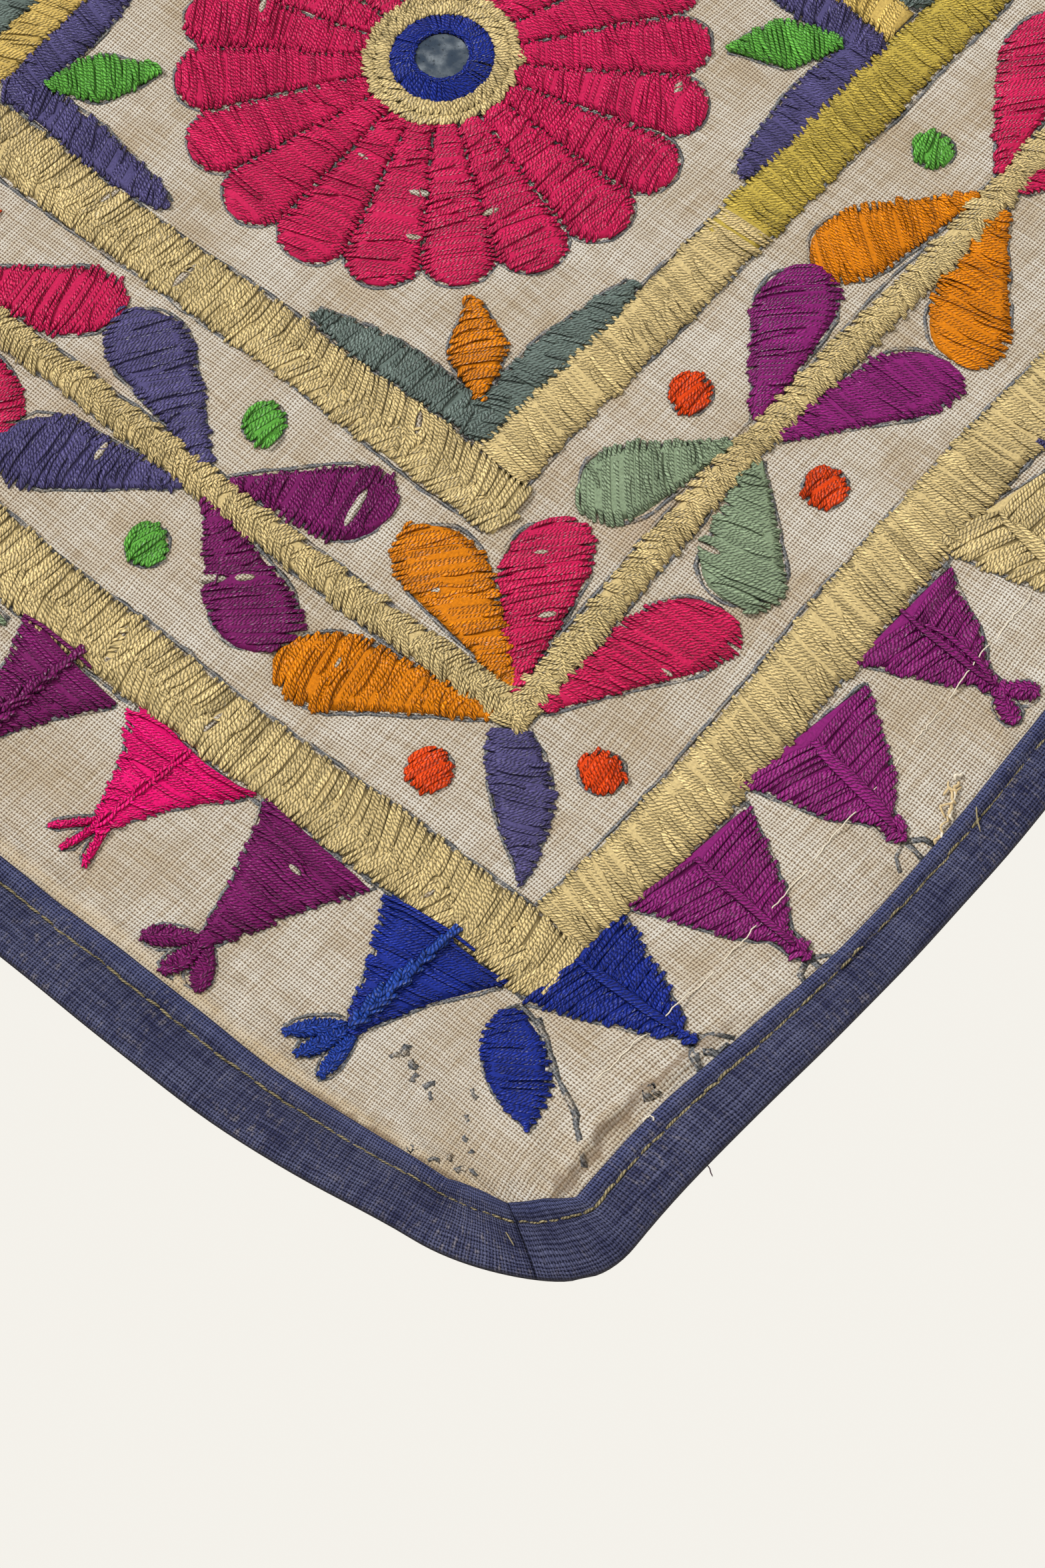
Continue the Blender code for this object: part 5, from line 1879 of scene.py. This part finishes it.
def tape_profile(reach):
    """Across the folded tape, from its front lip round to its back lip and back inside. Columns: distance
    in from the edge, distance forward, and how worn it is, where values below 0 set the painted shade on the
    folded rim."""
    inner = CLOTH / 2 + GAP
    outer = inner + TAPE
    return [
        # The front face, with the seam sunk in it
        (reach, inner + 0.0002, 0.1), (reach + 0.0001, inner + 0.0006, 0.6),
        (reach - 0.0004, outer + 0.0002, 0.8), (reach * 0.88, outer + 0.0006, 0.7),
        (reach * (SEAM + 0.055), outer + 0.0003, 0.3), (reach * SEAM, outer - 0.0006, 0.0),
        (reach * (SEAM - 0.055), outer + 0.0002, 0.0), (reach * 0.55, outer + 0.0005, 0.0),
        (reach * 0.35, outer + 0.0004, 0.0), (0.0025, outer + 0.0001, 0.0),
        # The folded rim, whose values below 0 set its painted shade
        (0.0010, outer - 0.0003, -0.1), (0.0002, TAPE, -0.5), (-0.0002, 0.0, -1.0),
        (0.0002, -TAPE, -0.7), (0.0010, -outer + 0.0003, 0.0),
        # The back
        (0.0025, -outer, 0.0), (reach * 0.5, -outer - 0.0002, 0.0), (reach - 0.0004, -outer, 0.2),
        (reach, -inner - 0.0004, 0.3),
        # The inside, of INSIDE points
        (reach - 0.0003, -inner, 0.0), (TAPE * 1.2, -inner, 0.0), (TAPE, 0.0, 0.0),
        (TAPE * 1.2, inner, 0.0), (reach - 0.0003, inner, 0.0),
    ]


INSIDE = 5


def end_caps(index):
    """The triangles that close a tape's two ends, between its outside and its inside."""
    caps = []
    for loop, way in ((index[0], -1), (index[-1], 1)):
        outside, inside = loop[:-INSIDE], loop[-INSIDE:][::-1]
        pairs = np.linspace(0, INSIDE - 1, len(outside)).round().astype(int)
        for step in range(len(outside) - 1):
            a, b = outside[step], outside[step + 1]
            c, d = inside[pairs[step + 1]], inside[pairs[step]]
            caps.append((a, b, c)[::way])
            if c != d:
                caps.append((a, c, d)[::way])
    return np.array(caps)


def binding(name, number):
    """One length of indigo tape, folded over the cloth's edge and sewn through."""
    stations = edge_stations(number)
    profile = np.array([tape_profile(reach) for reach in stations.reach])
    count, size = profile.shape[:2]
    along = distances(stations.place)
    ripple = 0.00016 * np.sin(along / 0.0062)[:, None] + 0.00012 * np.sin(along / 0.0023 + 1)[:, None]
    edge_drift = np.interp(along, np.linspace(0, along[-1], 40), rng.normal(0, 0.0003, 40))
    edge_drift *= np.sin(np.pi * np.clip(along / along[-1], 0, 1)) ** 0.3
    inset = profile[..., 0] + edge_drift[:, None] * (profile[..., 0] > 0.003)
    forward = profile[..., 1] + ripple * np.sign(profile[..., 1]) * (np.arange(size) < size - INSIDE)
    flat = stations.place[:, None] - stations.out[:, None] * inset[..., None]
    points = hang(flat, forward).reshape(-1, 3)
    index = np.arange(count * size).reshape(count, size)
    after = np.roll(index, -1, axis=1)
    quads = np.stack((index[:-1], after[:-1], after[1:], index[1:]), axis=-1).reshape(-1, 4)
    around = distances(profile[count // 2, :, :2])
    lengths, widths = np.broadcast_arrays(along[:, None], around[None, :])
    values = {
        "flat": np.stack((lengths, widths, 0 * widths), axis=-1).reshape(-1, 3),
        "worn": profile[..., 2].reshape(-1, 1),
    }
    bake = np.stack((lengths / along[-1], widths / around[-1]), axis=-1).reshape(-1, 2)
    piece = add_mesh(name + "_tape", points, quads, end_caps(index), values, bake)
    piece.data.materials.append(TAPED)
    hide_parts(name)
    return stations


def sewing(all_stations):
    """The sewn line that holds the binding: short beige stitches sunk a little in the tape."""
    work = Work("binding_seam")
    for stations in all_stations:
        along = distances(stations.place)
        at = np.linspace(0.001, along[-1] - 0.001, int(along[-1] / SEWN_STITCH) + 1)
        line = stations.place - stations.out * (stations.reach * SEAM)[:, None]
        places = np.stack([np.interp(at, along, line[:, axis]) for axis in (0, 1)], axis=-1)
        top = GAP + TAPE - 0.0010
        work.add(places[:-1], places[1:], SEWING, width=0.00070, rise=0.0006, floors=(top, top), pair=False)
    work.build(THREAD)


FLOOR_RADIUS = 6.0
FLOOR_HEIGHT = -1.35
FLOOR_SIDES = 64
PAPER = dye(244, 241, 234)
SOFT_WHITE = (1.0, 0.99, 0.97)
SUN_WAY = (-0.15, -0.68, 0.72)
CAMERA_PLACE = (-0.5256, -0.6111, -0.9390)
CAMERA_RIGHT = (0.64937, 0.02923, -0.75991)
CAMERA_UP = (0.68998, -0.44279, 0.57259)
CAMERA_LENS = 70.4


def stage():
    """A plain pale floor, well below the hanging."""
    data = bpy.data.meshes.new("floor")
    circle = ring((0, 0), FLOOR_RADIUS, FLOOR_SIDES)
    rim = [(x, y, FLOOR_HEIGHT) for x, y in circle]
    data.from_pydata(rim, [], [tuple(range(FLOOR_SIDES))])
    floor = bpy.data.objects.new("floor", data)
    bpy.context.scene.collection.objects.link(floor)
    shader = Shader("pale_floor")
    floor.data.materials.append(shader.finish((*dye(236, 233, 226), 1.0), 0.8))


def lights():
    """Soft light from all round, dimmer in reflections, and a broad one from above and in front."""
    world = bpy.data.worlds.new("studio")
    bpy.context.scene.world = world
    world.use_nodes = True
    world.node_tree.nodes.clear()
    nodes = Nodes(world.node_tree)
    paper = nodes.node("ShaderNodeBackground", (*PAPER, 1.0))
    soft = nodes.node("ShaderNodeBackground", (*SOFT_WHITE, 1.0), 0.55)
    dark = nodes.node("ShaderNodeBackground", None, 0.10)
    path = nodes.node("ShaderNodeLightPath").outputs
    glossed = nodes.node("ShaderNodeMixShader", path["Is Glossy Ray"], soft.outputs[0], dark.outputs[0])
    either = nodes.node("ShaderNodeMixShader", path["Is Camera Ray"], glossed.outputs[0], paper.outputs[0])
    nodes.node("ShaderNodeOutputWorld", either.outputs[0])
    data = bpy.data.lights.new("key", "SUN")
    data.energy = 2.6
    data.angle = math.radians(9)
    key = bpy.data.objects.new("key", data)
    key.rotation_mode = "QUATERNION"
    key.rotation_quaternion = Vector(SUN_WAY).to_track_quat("Z", "Y")
    bpy.context.scene.collection.objects.link(key)
    bpy.context.scene.view_settings.view_transform = "Standard"


def camera():
    """The photograph's view, from below on the left."""
    data = bpy.data.cameras.new("camera")
    data.lens = CAMERA_LENS
    data.sensor_width = 36
    data.clip_start = 0.01
    body = bpy.data.objects.new("camera", data)
    right, up = Vector(CAMERA_RIGHT), Vector(CAMERA_UP)
    turn = Matrix((right, up, right.cross(up))).transposed().to_4x4()
    body.matrix_world = Matrix.Translation(CAMERA_PLACE) @ turn
    bpy.context.scene.collection.objects.link(body)
    bpy.context.scene.camera = body


def hanging():
    """All the pieces, in the order in which their stitches are drawn at random."""
    sheet = ground_sheet()
    bands()
    stems()
    leaves()
    dots()
    pennants()
    flowers()
    field_motifs()
    dividers()
    loose_threads()
    guide_marks()
    names = ("binding_foot", "binding_right", "binding_top", "binding_left")
    sewing([binding(name, number) for number, name in enumerate(names)])
    drawn.build(INKED)
    beds.build(BEDDED)
    gaps.build(GROUND)
    for number in range(1, FIELDS ** 2 + 1):
        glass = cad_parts[f"mirror_{number}"]
        glass.material_slots[0].material = MIRRORED


camera()
lights()
stage()
hanging()
